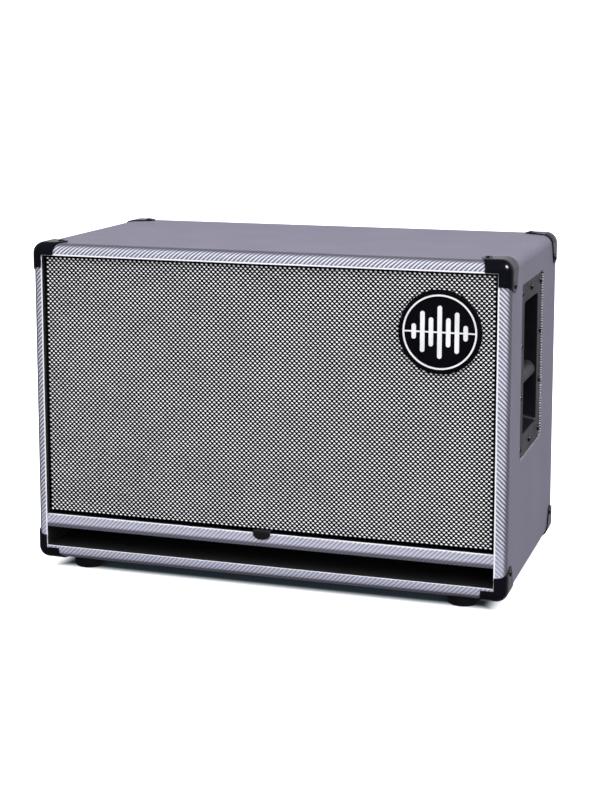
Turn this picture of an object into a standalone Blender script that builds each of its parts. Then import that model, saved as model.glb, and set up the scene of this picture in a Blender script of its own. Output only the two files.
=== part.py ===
"""Bass speaker cabinet: two woofers and a horn in a front-slotted plywood box.

Units are metres. +Z is up, the front faces -Y, and the origin is on the floor
under the middle of the cabinet. Heights named *_Z are above the cabinet's
underside, and depths named *_SETBACK run back from its front plane.
"""

import math

import bmesh
import bpy
from mathutils import Matrix, Vector
from mathutils.geometry import convex_hull_2d

MM = 0.001

# Cabinet over its covering
WIDTH = 600 * MM
HEIGHT = 400 * MM
DEPTH = 325 * MM
EDGE_RADIUS = 12.7 * MM
EDGE_SEGMENTS = 4

# Fits
GAP = 0.3 * MM
RUNNING_GAP = 0.1 * MM
SEAT_GAP = 0.5 * MM
BITE = 0.6 * MM
MERGE = 0.01 * MM
OVERRUN = 20 * MM

# Sheet and skin thicknesses
SKIN = 0.7 * MM
PLY_WALL = 12.7 * MM
PLY_FLOOR = 15 * MM
PLY_SHELF = 14.4 * MM
PLY_BAFFLE = 15 * MM
PLY_BACK = 15 * MM
TRIM_FOLD = 0.4 * MM

# Front: slot, rail and baffle
SLOT_HEIGHT = 23.7 * MM
RAIL_SETBACK = 1.0 * MM
RAIL_TRIM_DEPTH = 12 * MM
RAIL_EDGE = 1.5 * MM
SHELF_DEPTH = 200 * MM
BAFFLE_SETBACK = 26 * MM
REAR_INSET = 3 * MM
BRACE_WIDTH = 30 * MM
BRACE_HEIGHT = 40 * MM
BRACE_Z = 236 * MM

# Grille
GRILLE_BORDER = 4.0 * MM
CLOTH_SETBACK = 6.5 * MM
CLOTH_THICK = 0.7 * MM
CLOTH_TURN = 1.0 * MM
FRAME_BAR = 18 * MM
FASTENER_THICK = 2.8 * MM
FASTENER_WIDTH = 10 * MM
FASTENER_LENGTH = 240 * MM

# Badge
BADGE_RADIUS = 49.5 * MM
BADGE_INSET_X = 82 * MM
BADGE_INSET_Z = 85 * MM
BADGE_THICK = 2.5 * MM
BADGE_CHAMFER = 0.8 * MM
EMBLEM_THICK = 0.8 * MM
RING_OUTER = 44.3 * MM
RING_INNER = 41.6 * MM
EMBLEM_LINE = 1.8 * MM
BAR_WIDTH = 5.4 * MM
BAR_PITCH = 10.2 * MM
BAR_LENGTHS = (62 * MM, 34 * MM, 48 * MM, 18 * MM)
BADGE_STEPS = 32

# Pull tab
TAB_X = 4 * MM
TAB_WIDTH = 22 * MM
TAB_THICK = 1.1 * MM
TAB_DROP = 7 * MM
TAB_HOLD = 12 * MM
TAB_PROUD = 0.7 * MM

# Corner protectors
CORNER_PROUD = 1.8 * MM
CORNER_LEG = 28 * MM
CORNER_BAND = 12.5 * MM
CORNER_WRAP = 13.5 * MM
CORNER_SCREW = (30 * MM, 24 * MM)
CORNER_TIP = 8 * MM
CORNER_HEEL = (9 * MM, 35 * MM)
CORNER_HEEL_RADIUS = 7 * MM
CORNER_SCREW_RADIUS = 4.3 * MM

# Feet
FOOT_HEIGHT = 14.5 * MM
FOOT_RADIUS = 20 * MM
FOOT_BASE_RADIUS = 18.5 * MM
FOOT_BORE = 7 * MM
FOOT_BORE_DEPTH = 7 * MM
FOOT_EDGE = 2 * MM
FOOT_INSET_X = 57 * MM
FOOT_INSET_Y = 35 * MM
FOOT_STEPS = 16

# Side handles
HANDLE_CENTRE_SETBACK = 150 * MM
HANDLE_CENTRE_Z = 257 * MM
PLATE_DEPTHWISE = 145 * MM
PLATE_TALL = 213 * MM
PLATE_THICK = 2.5 * MM
PLATE_RECESS = 2.0 * MM
PLATE_CORNER = 6 * MM
POCKET_WIDE = 89 * MM
POCKET_TALL = 163 * MM
POCKET_DEPTH = 52 * MM
POCKET_WALL = 2.5 * MM
POCKET_TAPER = 0.84
POCKET_CORNER = 5 * MM
GRIP_RADIUS = 10.5 * MM
GRIP_SETBACK = 13 * MM
GRIP_DROP = 15 * MM
GRIP_STEPS = 16
PLATE_SCREW_PITCH = 63 * MM
PLATE_SCREW_RADIUS = 4 * MM

# Screw heads
SCREW_HEAD = 1.6 * MM
SCREW_SIDES = 8

# Woofers: depths run inwards from the baffle's front face
WOOFER_X = 136 * MM
WOOFER_Z = 195 * MM
WOOFER_RADIUS = 130.5 * MM
WOOFER_LAND = 15 * MM
WOOFER_BOLT_INSET = 7 * MM
WOOFER_BOLTS = 8
WOOFER_FLUSH = 1.5 * MM
WOOFER_FLANGE = 5.2 * MM
WOOFER_STEPS = 20
BASKET_WALL = 2.5 * MM
BASKET_CONE_END = 57 * MM
BASKET_CUP_RADIUS = 74 * MM
BASKET_CUP_BORE = 69.5 * MM
BASKET_LEDGE = 7.5 * MM
BASKET_PLATE = 74 * MM
BASKET_PLATE_BORE = 33 * MM
BASKET_WINDOW = 58 * MM
BASKET_WINDOW_SPAN = (22 * MM, 50 * MM)
SURROUND_WIDTH = 16.5 * MM
CONE_LAND = 6 * MM
CONE_SKIN = 1.2 * MM
CONE_DEPTH = 44 * MM
CONE_FRONT = 2.0 * MM
COIL_RADIUS = 26.3 * MM
COIL_WALL = 1.0 * MM
COIL_END = 93 * MM
COIL_GAP = 3.0 * MM
CAP_RADIUS = 36 * MM
CAP_RISE = 15.5 * MM
CAP_SKIN = 1.0 * MM
SURROUND_SKIN = 0.9 * MM
SPIDER_SKIN = 0.8 * MM
SPIDER_WAVE = 2.2 * MM
MAGNET_RADIUS = 70 * MM
MAGNET_DEPTH = 20 * MM
POLE_PLATE_RADIUS = 61 * MM
POLE_PLATE_DEPTH = 7.2 * MM
POLE_VENT = 9 * MM
POLE_GAP_DEPTH = 23.5 * MM
TERMINAL = 10 * MM

# Horn
HORN_Z = 340 * MM
HORN_FLANGE_WIDE = 100 * MM
HORN_FLANGE_TALL = 76 * MM
HORN_FLANGE_THICK = 4 * MM
HORN_RIM = 7 * MM
HORN_WALL = 2.5 * MM
HORN_LENGTH = 60 * MM
THROAT_RADIUS = 12.7 * MM
THROAT_FLANGE_RADIUS = 28 * MM
THROAT_FLANGE_THICK = 5 * MM
DRIVER_RADIUS = 38 * MM
DRIVER_LENGTH = 45 * MM
DRIVER_EDGE = 5 * MM
HORN_STEPS = 20

# Connection dish on the back
DISH_Z = 160 * MM
DISH_FLANGE_WIDE = 152 * MM
DISH_FLANGE_TALL = 92 * MM
DISH_WIDE = 116 * MM
DISH_TALL = 58 * MM
DISH_DEPTH = 21 * MM
DISH_WALL = 2 * MM
SOCKET_XS = (-38 * MM, -6 * MM)
SOCKET_BORE = 3.4 * MM
SOCKET_BARREL = 5.6 * MM
SOCKET_NUT = 7.5 * MM
SOCKET_NUT_HEIGHT = 3 * MM
SOCKET_BODY = 9 * MM
SOCKET_LENGTH = 26 * MM
SOCKET_END_WALL = 2.5 * MM
KNOB_X = 34 * MM
KNOB_RADIUS = 9.5 * MM
KNOB_HEIGHT = 12 * MM
KNOB_LIFT = 3.2 * MM
KNOB_POINTER = 1.2 * MM
SPINDLE_RADIUS = 3 * MM
SPINDLE_TAIL = 7 * MM
BUSH_RADIUS = 4.5 * MM
NUT_HEIGHT = 2 * MM
NUT_RADIUS = 6 * MM
POT_RADIUS = 8.5 * MM
POT_LENGTH = 11 * MM
ROUND_STEPS = 16

# Crossover board and leads
BOARD_X = -140 * MM
BOARD_Z = 214 * MM
BOARD_WIDE = 100 * MM
BOARD_TALL = 74 * MM
BOARD_THICK = 1.6 * MM
STANDOFF = 6 * MM
STANDOFF_RADIUS = 3.5 * MM
STANDOFF_INSET = 6 * MM
COIL_CORE_RADIUS = 17 * MM
COIL_CORE_HEIGHT = 20 * MM
CAPACITOR_RADIUS = 9 * MM
CAPACITOR_LENGTH = 34 * MM
STRIP_SIZE = (60 * MM, 9 * MM, 10 * MM)
LEAD_RADIUS = 1.5 * MM
LEAD_POINTS = 14

# Planes and faces that more than one piece uses
FRONT = -DEPTH / 2
BACK = DEPTH / 2
UNDERSIDE = FOOT_HEIGHT
TOP = FOOT_HEIGHT + HEIGHT
MIDDLE_Z = (UNDERSIDE + TOP) / 2
PLY_INSET = SKIN + GAP
BAND_SIDE = PLY_INSET + PLY_WALL + TRIM_FOLD
BAND_BOTTOM = PLY_INSET + PLY_FLOOR + TRIM_FOLD
INNER_X = WIDTH / 2 - PLY_INSET - PLY_WALL
FLOOR_TOP = UNDERSIDE + PLY_INSET + PLY_FLOOR
CEILING = TOP - PLY_INSET - PLY_WALL
RAIL_BOTTOM = UNDERSIDE + BAND_BOTTOM + SLOT_HEIGHT
SHELF_BOTTOM = RAIL_BOTTOM + PLY_INSET
SHELF_TOP = SHELF_BOTTOM + PLY_SHELF
RAIL_TOP = SHELF_TOP + PLY_INSET
SHELF_FRONT = FRONT + RAIL_SETBACK + PLY_INSET
BAFFLE_FRONT = FRONT + BAFFLE_SETBACK
BAFFLE_REAR = BAFFLE_FRONT + PLY_BAFFLE
BACK_OUTER = BACK - REAR_INSET
BACK_INNER = BACK_OUTER - PLY_BACK
CLOTH_FRONT = FRONT + CLOTH_SETBACK
FRAME_FRONT = CLOTH_FRONT + CLOTH_THICK + GAP
FRAME_BACK = BAFFLE_FRONT - 2 * (FASTENER_THICK + GAP) - GAP
OPENING_X = WIDTH / 2 - BAND_SIDE
OPENING_TOP = TOP - BAND_SIDE
WOOFER_REBATE = WOOFER_FLUSH + WOOFER_FLANGE + GAP
WOOFER_CUTOUT = WOOFER_RADIUS - WOOFER_LAND
CONE_RADIUS = WOOFER_CUTOUT - SURROUND_WIDTH

MATERIALS = {
    "ply": ((0.55, 0.42, 0.27), 0.7, 0.0),
    "baffle_paint": ((0.02, 0.02, 0.022), 0.8, 0.0),
    "grey_vinyl": ((0.30, 0.29, 0.33), 0.55, 0.0),
    "silver_weave": ((0.62, 0.62, 0.68), 0.5, 0.1),
    "grille_weave": ((0.40, 0.40, 0.40), 0.8, 0.0),
    "black_plastic": ((0.015, 0.015, 0.018), 0.3, 0.0),
    "badge_white": ((0.80, 0.80, 0.80), 0.4, 0.0),
    "webbing": ((0.02, 0.02, 0.025), 0.8, 0.0),
    "black_rubber": ((0.015, 0.015, 0.016), 0.75, 0.0),
    "black_steel": ((0.03, 0.03, 0.033), 0.45, 0.6),
    "magnet": ((0.07, 0.07, 0.075), 0.6, 0.3),
    "cone_paper": ((0.03, 0.03, 0.03), 0.9, 0.0),
    "spider_cloth": ((0.55, 0.38, 0.14), 0.9, 0.0),
    "board_green": ((0.05, 0.22, 0.08), 0.5, 0.0),
    "nickel": ((0.65, 0.64, 0.60), 0.3, 1.0),
    "lead_jacket": ((0.25, 0.02, 0.02), 0.5, 0.0),
}

for old in list(bpy.data.objects):
    bpy.data.objects.remove(old, do_unlink=True)

PARTS = bpy.data.collections.new("bass_speaker_cabinet")
CUTTERS = bpy.data.collections.new("cutters")
bpy.context.scene.collection.children.link(PARTS)
bpy.context.scene.collection.children.link(CUTTERS)


def make_material(name):
    """Build the Principled material of one finish."""
    colour, roughness, metallic = MATERIALS[name]
    material = bpy.data.materials.new(name)
    material.use_nodes = True
    shader = material.node_tree.nodes["Principled BSDF"]
    shader.inputs["Base Color"].default_value = (*colour, 1)
    shader.inputs["Roughness"].default_value = roughness
    shader.inputs["Metallic"].default_value = metallic
    return material


def place_in(obj, collection):
    """Move an object into one collection only."""
    for owner in list(obj.users_collection):
        owner.objects.unlink(obj)
    collection.objects.link(obj)


def finish(obj, material_name, parent=None):
    """Put a finished piece in the parts collection with a material of its own."""
    place_in(obj, PARTS)
    obj.data.materials.clear()
    obj.data.materials.append(make_material(material_name))
    if parent:
        obj.parent = parent
        obj.matrix_parent_inverse = parent.matrix_world.inverted()
    return obj


def empty_at(name, location):
    """Make an empty that carries the pieces of one moving group."""
    empty = bpy.data.objects.new(name, None)
    empty.location = location
    PARTS.objects.link(empty)
    bpy.context.view_layer.update()
    return empty


def add_box(name, low, high):
    """Make a box between two opposite corners."""
    centre = [(a + b) / 2 for a, b in zip(low, high)]
    bpy.ops.mesh.primitive_cube_add(size=1, location=centre)
    box = bpy.context.object
    box.name = name
    box.scale = [b - a for a, b in zip(low, high)]
    bpy.ops.object.transform_apply(location=False, rotation=False, scale=True)
    return box


def add_rod(name, radius, start, end, sides):
    """Make a cylinder between the centres of its two ends."""
    start = Vector(start)
    run = Vector(end) - start
    bpy.ops.mesh.primitive_cylinder_add(
        vertices=sides,
        radius=radius,
        depth=run.length,
        location=start + run / 2,
        rotation=Vector((0, 0, 1)).rotation_difference(run).to_euler(),
    )
    rod = bpy.context.object
    rod.name = name
    rod.data.shade_smooth()
    rod.data.set_sharp_from_angle(angle=math.radians(50))
    return rod


def bevel_box(name, low, high, radius, segments):
    """Make a box with every edge rounded."""
    box = add_box(name, low, high)
    bevel = box.modifiers.new("rounded_edges", "BEVEL")
    bevel.width = radius
    bevel.segments = segments
    bevel.limit_method = "NONE"
    return box


def round_along(box, axis, radius, segments):
    """Round the four edges of a box that run along one axis."""
    weights = box.data.attributes.new("bevel_weight_edge", "FLOAT", "EDGE")
    vertices = box.data.vertices
    for edge in box.data.edges:
        run = vertices[edge.vertices[1]].co - vertices[edge.vertices[0]].co
        along = abs(run[axis]) > 0.7 * run.length
        weights.data[edge.index].value = 1.0 if along else 0.0
    bevel = box.modifiers.new("rounded_corners", "BEVEL")
    bevel.width = radius
    bevel.segments = segments
    bevel.limit_method = "WEIGHT"
    return box


def tapered_box(name, low, high, axis, wide_at_high, taper):
    """Make a box whose end along one axis shrinks about the middle."""
    box = add_box(name, low, high)
    for vertex in box.data.vertices:
        if (vertex.co[axis] < 0) == wide_at_high:
            for other in range(3):
                if other != axis:
                    vertex.co[other] *= taper
    return box


def cabinet_blank(name, inset):
    """Make the cabinet's rounded outer form, drawn in by an inset."""
    low = (-WIDTH / 2 + inset, FRONT + inset, UNDERSIDE + inset)
    high = (WIDTH / 2 - inset, BACK - inset, TOP - inset)
    return bevel_box(name, low, high, EDGE_RADIUS - inset, EDGE_SEGMENTS)


def turned(name, outline, location, axis, steps):
    """Turn an outline of (radius, height) points about an axis.

    An outline that touches the axis at both ends stays open there, and any
    other outline is a closed ring.
    """
    on_axis = outline[0][0] == 0 and outline[-1][0] == 0
    loop = outline + outline[:1]
    area = sum(a[0] * b[1] - b[0] * a[1] for a, b in zip(loop, loop[1:]))
    points = outline if area < 0 else outline[::-1]
    mesh = bpy.data.meshes.new(name)
    work = bmesh.new()
    corners = [work.verts.new((radius, 0, height)) for radius, height in points]
    for a, b in zip(corners, corners[1:]):
        work.edges.new((a, b))
    if not on_axis:
        work.edges.new((corners[-1], corners[0]))
    work.to_mesh(mesh)
    work.free()
    obj = bpy.data.objects.new(name, mesh)
    bpy.context.scene.collection.objects.link(obj)
    obj.location = location
    obj.rotation_euler = Vector((0, 0, 1)).rotation_difference(Vector(axis)).to_euler()
    screw = obj.modifiers.new("turn", "SCREW")
    screw.axis = "Z"
    screw.steps = steps
    screw.render_steps = steps
    screw.use_merge_vertices = True
    screw.merge_threshold = MERGE
    return obj


def evaluated_mesh(obj):
    """Return a new mesh with the object's modifiers worked in."""
    bpy.context.view_layer.update()
    graph = bpy.context.evaluated_depsgraph_get()
    return bpy.data.meshes.new_from_object(obj.evaluated_get(graph))


def flat_solid(name, points, thickness, frame):
    """Make a plate from a flat outline, centred on its plane and set in a frame."""
    curve = bpy.data.curves.new(name, "CURVE")
    curve.dimensions = "2D"
    curve.fill_mode = "BOTH"
    curve.extrude = thickness / 2
    spline = curve.splines.new("POLY")
    spline.points.add(len(points) - 1)
    for point, (x, y) in zip(spline.points, points):
        point.co = (x, y, 0, 1)
    spline.use_cyclic_u = True
    drawn = bpy.data.objects.new(name + "_outline", curve)
    bpy.context.scene.collection.objects.link(drawn)
    drawn.matrix_world = frame
    mesh = evaluated_mesh(drawn)
    work = bmesh.new()
    work.from_mesh(mesh)
    bmesh.ops.remove_doubles(work, verts=work.verts, dist=MERGE)
    bmesh.ops.recalc_face_normals(work, faces=work.faces)
    work.to_mesh(mesh)
    work.free()
    obj = bpy.data.objects.new(name, mesh)
    bpy.context.scene.collection.objects.link(obj)
    obj.matrix_world = frame
    bpy.data.objects.remove(drawn, do_unlink=True)
    return obj


def plan_frame(z):
    """Frame whose outline lies level, at one height."""
    return Matrix.Translation((0, 0, z))


def side_frame(x):
    """Frame whose outline lies in a side face: x is depth and y is height."""
    turn = Matrix(((0, 0, 1, 0), (1, 0, 0, 0), (0, 1, 0, 0), (0, 0, 0, 1)))
    return Matrix.Translation((x, 0, 0)) @ turn


def combine(target, tool, operation):
    """Cut, keep or join a piece with another shape, which becomes a guide."""
    place_in(tool, CUTTERS)
    tool.hide_render = True
    tool.display_type = "WIRE"
    boolean = target.modifiers.new(operation.lower(), "BOOLEAN")
    boolean.operation = operation
    boolean.solver = "EXACT"
    boolean.object = tool
    return target


def cut(target, tool):
    """Cut a shape out of a piece."""
    return combine(target, tool, "DIFFERENCE")


def keep(target, tool):
    """Keep only what a piece shares with a shape."""
    return combine(target, tool, "INTERSECT")


def fuse(target, tool):
    """Join a shape to a piece as one body."""
    return combine(target, tool, "UNION")


def gathered(name, shapes):
    """Gather shapes that may overlap into one guide."""
    work = bmesh.new()
    for shape in shapes:
        mesh = evaluated_mesh(shape)
        mesh.transform(shape.matrix_world)
        work.from_mesh(mesh)
        bpy.data.objects.remove(shape, do_unlink=True)
    mesh = bpy.data.meshes.new(name)
    work.to_mesh(mesh)
    work.free()
    guide = bpy.data.objects.new(name, mesh)
    bpy.context.scene.collection.objects.link(guide)
    return guide


def mirrored(source, name, flips):
    """Copy a piece to another corner of the cabinet by flipping axes about its middle."""
    mesh = evaluated_mesh(source)
    middle = Vector((0, 0, MIDDLE_Z))
    mesh.transform(source.matrix_world)
    mesh.transform(Matrix.Translation(-middle))
    mesh.transform(Matrix.Diagonal((*flips, 1)))
    mesh.transform(Matrix.Translation(middle))
    if flips[0] * flips[1] * flips[2] < 0:
        mesh.flip_normals()
    obj = bpy.data.objects.new(name, mesh)
    bpy.context.scene.collection.objects.link(obj)
    return obj


def screw_head(name, seat, normal, radius):
    """Make a pan head that stands on a seat and bites a little into it."""
    seat = Vector(seat)
    normal = Vector(normal)
    return add_rod(name, radius, seat - normal * BITE, seat + normal * SCREW_HEAD, SCREW_SIDES)


def arc(centre, radius, start, end, count):
    """Points of a circular arc, angles in degrees."""
    points = []
    for index in range(count + 1):
        angle = math.radians(start + (end - start) * index / count)
        points.append((centre[0] + radius * math.cos(angle), centre[1] + radius * math.sin(angle)))
    return points


def wrapped_circles(circles, count):
    """Outline of a band pulled tight round several circles of (x, y, radius)."""
    points = []
    for x, y, radius in circles:
        points += arc((x, y), radius, 0, 360 - 360 / count, count - 1)
    return [points[index] for index in convex_hull_2d([Vector(point) for point in points])]


def smooth_route(points, count):
    """Samples of one smooth curve through a route whose two end runs stay straight."""
    points = [Vector(point) for point in points]
    spans = len(points) - 3
    samples = [points[0]]
    for index in range(count - 2):
        place = spans * index / (count - 3)
        span = min(int(place), spans - 1)
        t = place - span
        a, b, c, d = points[span:span + 4]
        sample = b * 2 + (c - a) * t
        sample += (a * 2 - b * 5 + c * 4 - d) * t ** 2
        sample += (b * 3 - a - c * 3 + d) * t ** 3
        samples.append(sample / 2)
    return samples + [points[-1]]


def lead(name, route):
    """Make an insulated lead along a smooth route."""
    curve = bpy.data.curves.new(name, "CURVE")
    curve.dimensions = "3D"
    curve.bevel_depth = LEAD_RADIUS
    curve.bevel_resolution = 2
    curve.resolution_u = 1
    curve.render_resolution_u = 0
    curve.use_fill_caps = True
    samples = smooth_route(route, LEAD_POINTS)
    spline = curve.splines.new("POLY")
    spline.points.add(len(samples) - 1)
    for point, sample in zip(spline.points, samples):
        point.co = (*sample, 1)
    obj = bpy.data.objects.new(name, curve)
    bpy.context.scene.collection.objects.link(obj)
    return finish(obj, "lead_jacket")


# Shell of four rounded panels, butt-jointed


def shell_panel(name, low, high):
    """Make one panel: a board cut to the rounded form of the bare cabinet."""
    board = add_box(name, low, high)
    keep(board, cabinet_blank(name + "_form", PLY_INSET))
    return board


def build_shell():
    """Make the top, bottom and side panels."""
    reach = OVERRUN
    wall_x = INNER_X + GAP
    front = FRONT - reach
    rear = BACK + reach
    top = shell_panel("top_panel", (-INNER_X, front, CEILING), (INNER_X, rear, TOP + reach))
    finish(top, "ply")
    bottom = shell_panel(
        "bottom_panel", (-INNER_X, front, UNDERSIDE - reach), (INNER_X, rear, FLOOR_TOP)
    )
    finish(bottom, "ply")
    for label, sign in (("left", -1), ("right", 1)):
        xs = sorted((sign * wall_x, sign * (WIDTH / 2 + reach)))
        side = shell_panel(
            label + "_side_panel",
            (xs[0], front, UNDERSIDE - reach),
            (xs[1], rear, TOP + reach),
        )
        cut(side, handle_rebate(label + "_panel_rebate", sign, SEAT_GAP, GAP))
        cut(side, handle_bowl(label + "_panel_hole", sign, POCKET_WALL + SEAT_GAP))
        finish(side, "ply")


def handle_centre(sign):
    """Middle of a handle plate's outer face."""
    return Vector((
        sign * (WIDTH / 2 - PLATE_RECESS),
        FRONT + HANDLE_CENTRE_SETBACK,
        UNDERSIDE + HANDLE_CENTRE_Z,
    ))


def handle_rebate(name, sign, margin, clearance):
    """Make the plate's seat in the side, open to the outside."""
    centre = handle_centre(sign)
    inner = centre.x - sign * (PLATE_THICK + clearance)
    xs = sorted((inner, centre.x + sign * OVERRUN))
    seat = add_box(
        name,
        (xs[0], centre.y - PLATE_DEPTHWISE / 2 - margin, centre.z - PLATE_TALL / 2 - margin),
        (xs[1], centre.y + PLATE_DEPTHWISE / 2 + margin, centre.z + PLATE_TALL / 2 + margin),
    )
    return round_along(seat, 0, PLATE_CORNER + margin, 3)


def handle_bowl(name, sign, margin):
    """Make the tapered form of a handle pocket, grown by a margin."""
    centre = handle_centre(sign)
    floor = centre.x - sign * (POCKET_DEPTH + margin)
    xs = sorted((floor, centre.x))
    bowl = tapered_box(
        name,
        (xs[0], centre.y - POCKET_WIDE / 2 - margin, centre.z - POCKET_TALL / 2 - margin),
        (xs[1], centre.y + POCKET_WIDE / 2 + margin, centre.z + POCKET_TALL / 2 + margin),
        0,
        sign > 0,
        POCKET_TAPER,
    )
    return round_along(bowl, 0, POCKET_CORNER + margin, 3)


# Covering and trims


def opening_box(name, low_z, high_z):
    """Make a box that opens a skin from front to back inside its bands."""
    return add_box(
        name,
        (-OPENING_X, FRONT - OVERRUN, low_z),
        (OPENING_X, BACK + OVERRUN, high_z),
    )


def skin(name, front, rear):
    """Make a slice of the outer skin between two depths."""
    reach = WIDTH
    sleeve = cabinet_blank(name, 0)
    cut(sleeve, cabinet_blank(name + "_inside", SKIN))
    cut(sleeve, opening_box(name + "_mouth", UNDERSIDE + BAND_BOTTOM, OPENING_TOP))
    slab = add_box(name + "_slice", (-reach, front, -reach), (reach, rear, reach))
    keep(sleeve, slab)
    return sleeve


def build_skins():
    """Make the vinyl covering, the woven front trim and the rail's trim."""
    seam = FRONT + EDGE_RADIUS
    covering = skin("grey_covering", seam + GAP / 2, BACK + OVERRUN)
    for label, sign in (("left", -1), ("right", 1)):
        cut(covering, handle_rebate(label + "_covering_cut", sign, SEAT_GAP, GAP))
    finish(covering, "grey_vinyl")
    trim = skin("front_trim", FRONT - OVERRUN, seam - GAP / 2)
    finish(trim, "silver_weave")

    front = FRONT + RAIL_SETBACK
    rear = front + RAIL_TRIM_DEPTH
    half = INNER_X - GAP
    rail = add_box("rail_trim", (-half, front, RAIL_BOTTOM), (half, rear, RAIL_TOP))
    round_along(rail, 0, RAIL_EDGE, 2)
    groove = add_box(
        "rail_trim_groove",
        (-WIDTH, front + SKIN, RAIL_BOTTOM + SKIN),
        (WIDTH, rear + OVERRUN, RAIL_TOP - SKIN),
    )
    cut(rail, groove)
    finish(rail, "silver_weave")


# Boards inside the shell


def build_boards():
    """Make the baffle, the slot's shelf, the back and the brace."""
    half = INNER_X - GAP
    shelf = add_box(
        "port_shelf",
        (-half, SHELF_FRONT, SHELF_BOTTOM),
        (half, SHELF_FRONT + SHELF_DEPTH, SHELF_TOP),
    )
    finish(shelf, "baffle_paint")

    baffle = add_box(
        "baffle",
        (-half, BAFFLE_FRONT, SHELF_TOP + GAP),
        (half, BAFFLE_REAR, CEILING - GAP),
    )
    for label, sign in (("left", -1), ("right", 1)):
        centre = woofer_centre(sign)
        recess = [
            (0, -OVERRUN),
            (WOOFER_RADIUS + SEAT_GAP, -OVERRUN),
            (WOOFER_RADIUS + SEAT_GAP, WOOFER_REBATE),
            (WOOFER_CUTOUT, WOOFER_REBATE),
            (WOOFER_CUTOUT, PLY_BAFFLE + OVERRUN),
            (0, PLY_BAFFLE + OVERRUN),
        ]
        cut(baffle, turned(label + "_woofer_cutout", recess, centre, (0, 1, 0), WOOFER_STEPS))
    mouth = horn_centre()
    hole_x = HORN_FLANGE_WIDE / 2 - HORN_RIM + HORN_WALL + SEAT_GAP
    hole_z = HORN_FLANGE_TALL / 2 - HORN_RIM + HORN_WALL + SEAT_GAP
    cut(baffle, add_box(
        "horn_cutout",
        (mouth.x - hole_x, BAFFLE_FRONT - OVERRUN, mouth.z - hole_z),
        (mouth.x + hole_x, BAFFLE_REAR + OVERRUN, mouth.z + hole_z),
    ))
    finish(baffle, "baffle_paint")

    back = add_box(
        "back_panel",
        (-half, BACK_INNER, FLOOR_TOP + GAP),
        (half, BACK_OUTER, CEILING - GAP),
    )
    hole_x = DISH_WIDE / 2 + DISH_WALL + SEAT_GAP
    hole_z = DISH_TALL / 2 + DISH_WALL + SEAT_GAP
    dish_z = UNDERSIDE + DISH_Z
    cut(back, add_box(
        "dish_cutout",
        (-hole_x, BACK_INNER - OVERRUN, dish_z - hole_z),
        (hole_x, BACK_OUTER + OVERRUN, dish_z + hole_z),
    ))
    finish(back, "grey_vinyl")

    brace_z = UNDERSIDE + BRACE_Z
    brace = add_box(
        "cross_brace",
        (-BRACE_WIDTH / 2, BAFFLE_REAR + GAP, brace_z),
        (BRACE_WIDTH / 2, BACK_INNER - GAP, brace_z + BRACE_HEIGHT),
    )
    finish(brace, "ply")


# Grille that lifts off


def build_grille():
    """Make the grille frame, its cloth, badge, pull tab and fasteners."""
    carrier = empty_at("grille_carrier", (0, CLOTH_FRONT, (RAIL_TOP + OPENING_TOP) / 2))
    cloth_x = OPENING_X - GRILLE_BORDER
    cloth_low = RAIL_TOP + GRILLE_BORDER
    cloth_high = OPENING_TOP - GRILLE_BORDER
    cloth = add_box(
        "grille_cloth",
        (-cloth_x, CLOTH_FRONT, cloth_low),
        (cloth_x, CLOTH_FRONT + CLOTH_THICK, cloth_high),
    )
    finish(cloth, "grille_weave", carrier)

    outer_x = cloth_x - CLOTH_TURN
    low = cloth_low + CLOTH_TURN
    high = cloth_high - CLOTH_TURN
    frame = add_box("grille_frame", (-outer_x, FRAME_FRONT, low), (outer_x, FRAME_BACK, high))
    window = add_box(
        "grille_window",
        (-outer_x + FRAME_BAR, FRAME_FRONT - OVERRUN, low + FRAME_BAR),
        (outer_x - FRAME_BAR, FRAME_BACK + OVERRUN, high - FRAME_BAR),
    )
    cut(frame, window)
    finish(frame, "baffle_paint", carrier)

    middle = (low + high) / 2
    for label, sign in (("left", -1), ("right", 1)):
        x = sign * (outer_x - FRAME_BAR / 2)
        hook_rear = BAFFLE_FRONT - GAP
        loop_rear = hook_rear - FASTENER_THICK - GAP
        for kind, rear, holder in (("hook", hook_rear, None), ("loop", loop_rear, carrier)):
            strip = add_box(
                kind + "_strip_" + label,
                (x - FASTENER_WIDTH / 2, rear - FASTENER_THICK, middle - FASTENER_LENGTH / 2),
                (x + FASTENER_WIDTH / 2, rear, middle + FASTENER_LENGTH / 2),
            )
            finish(strip, "webbing", holder)

    build_badge(carrier)
    build_tab(carrier, cloth_low)


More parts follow.
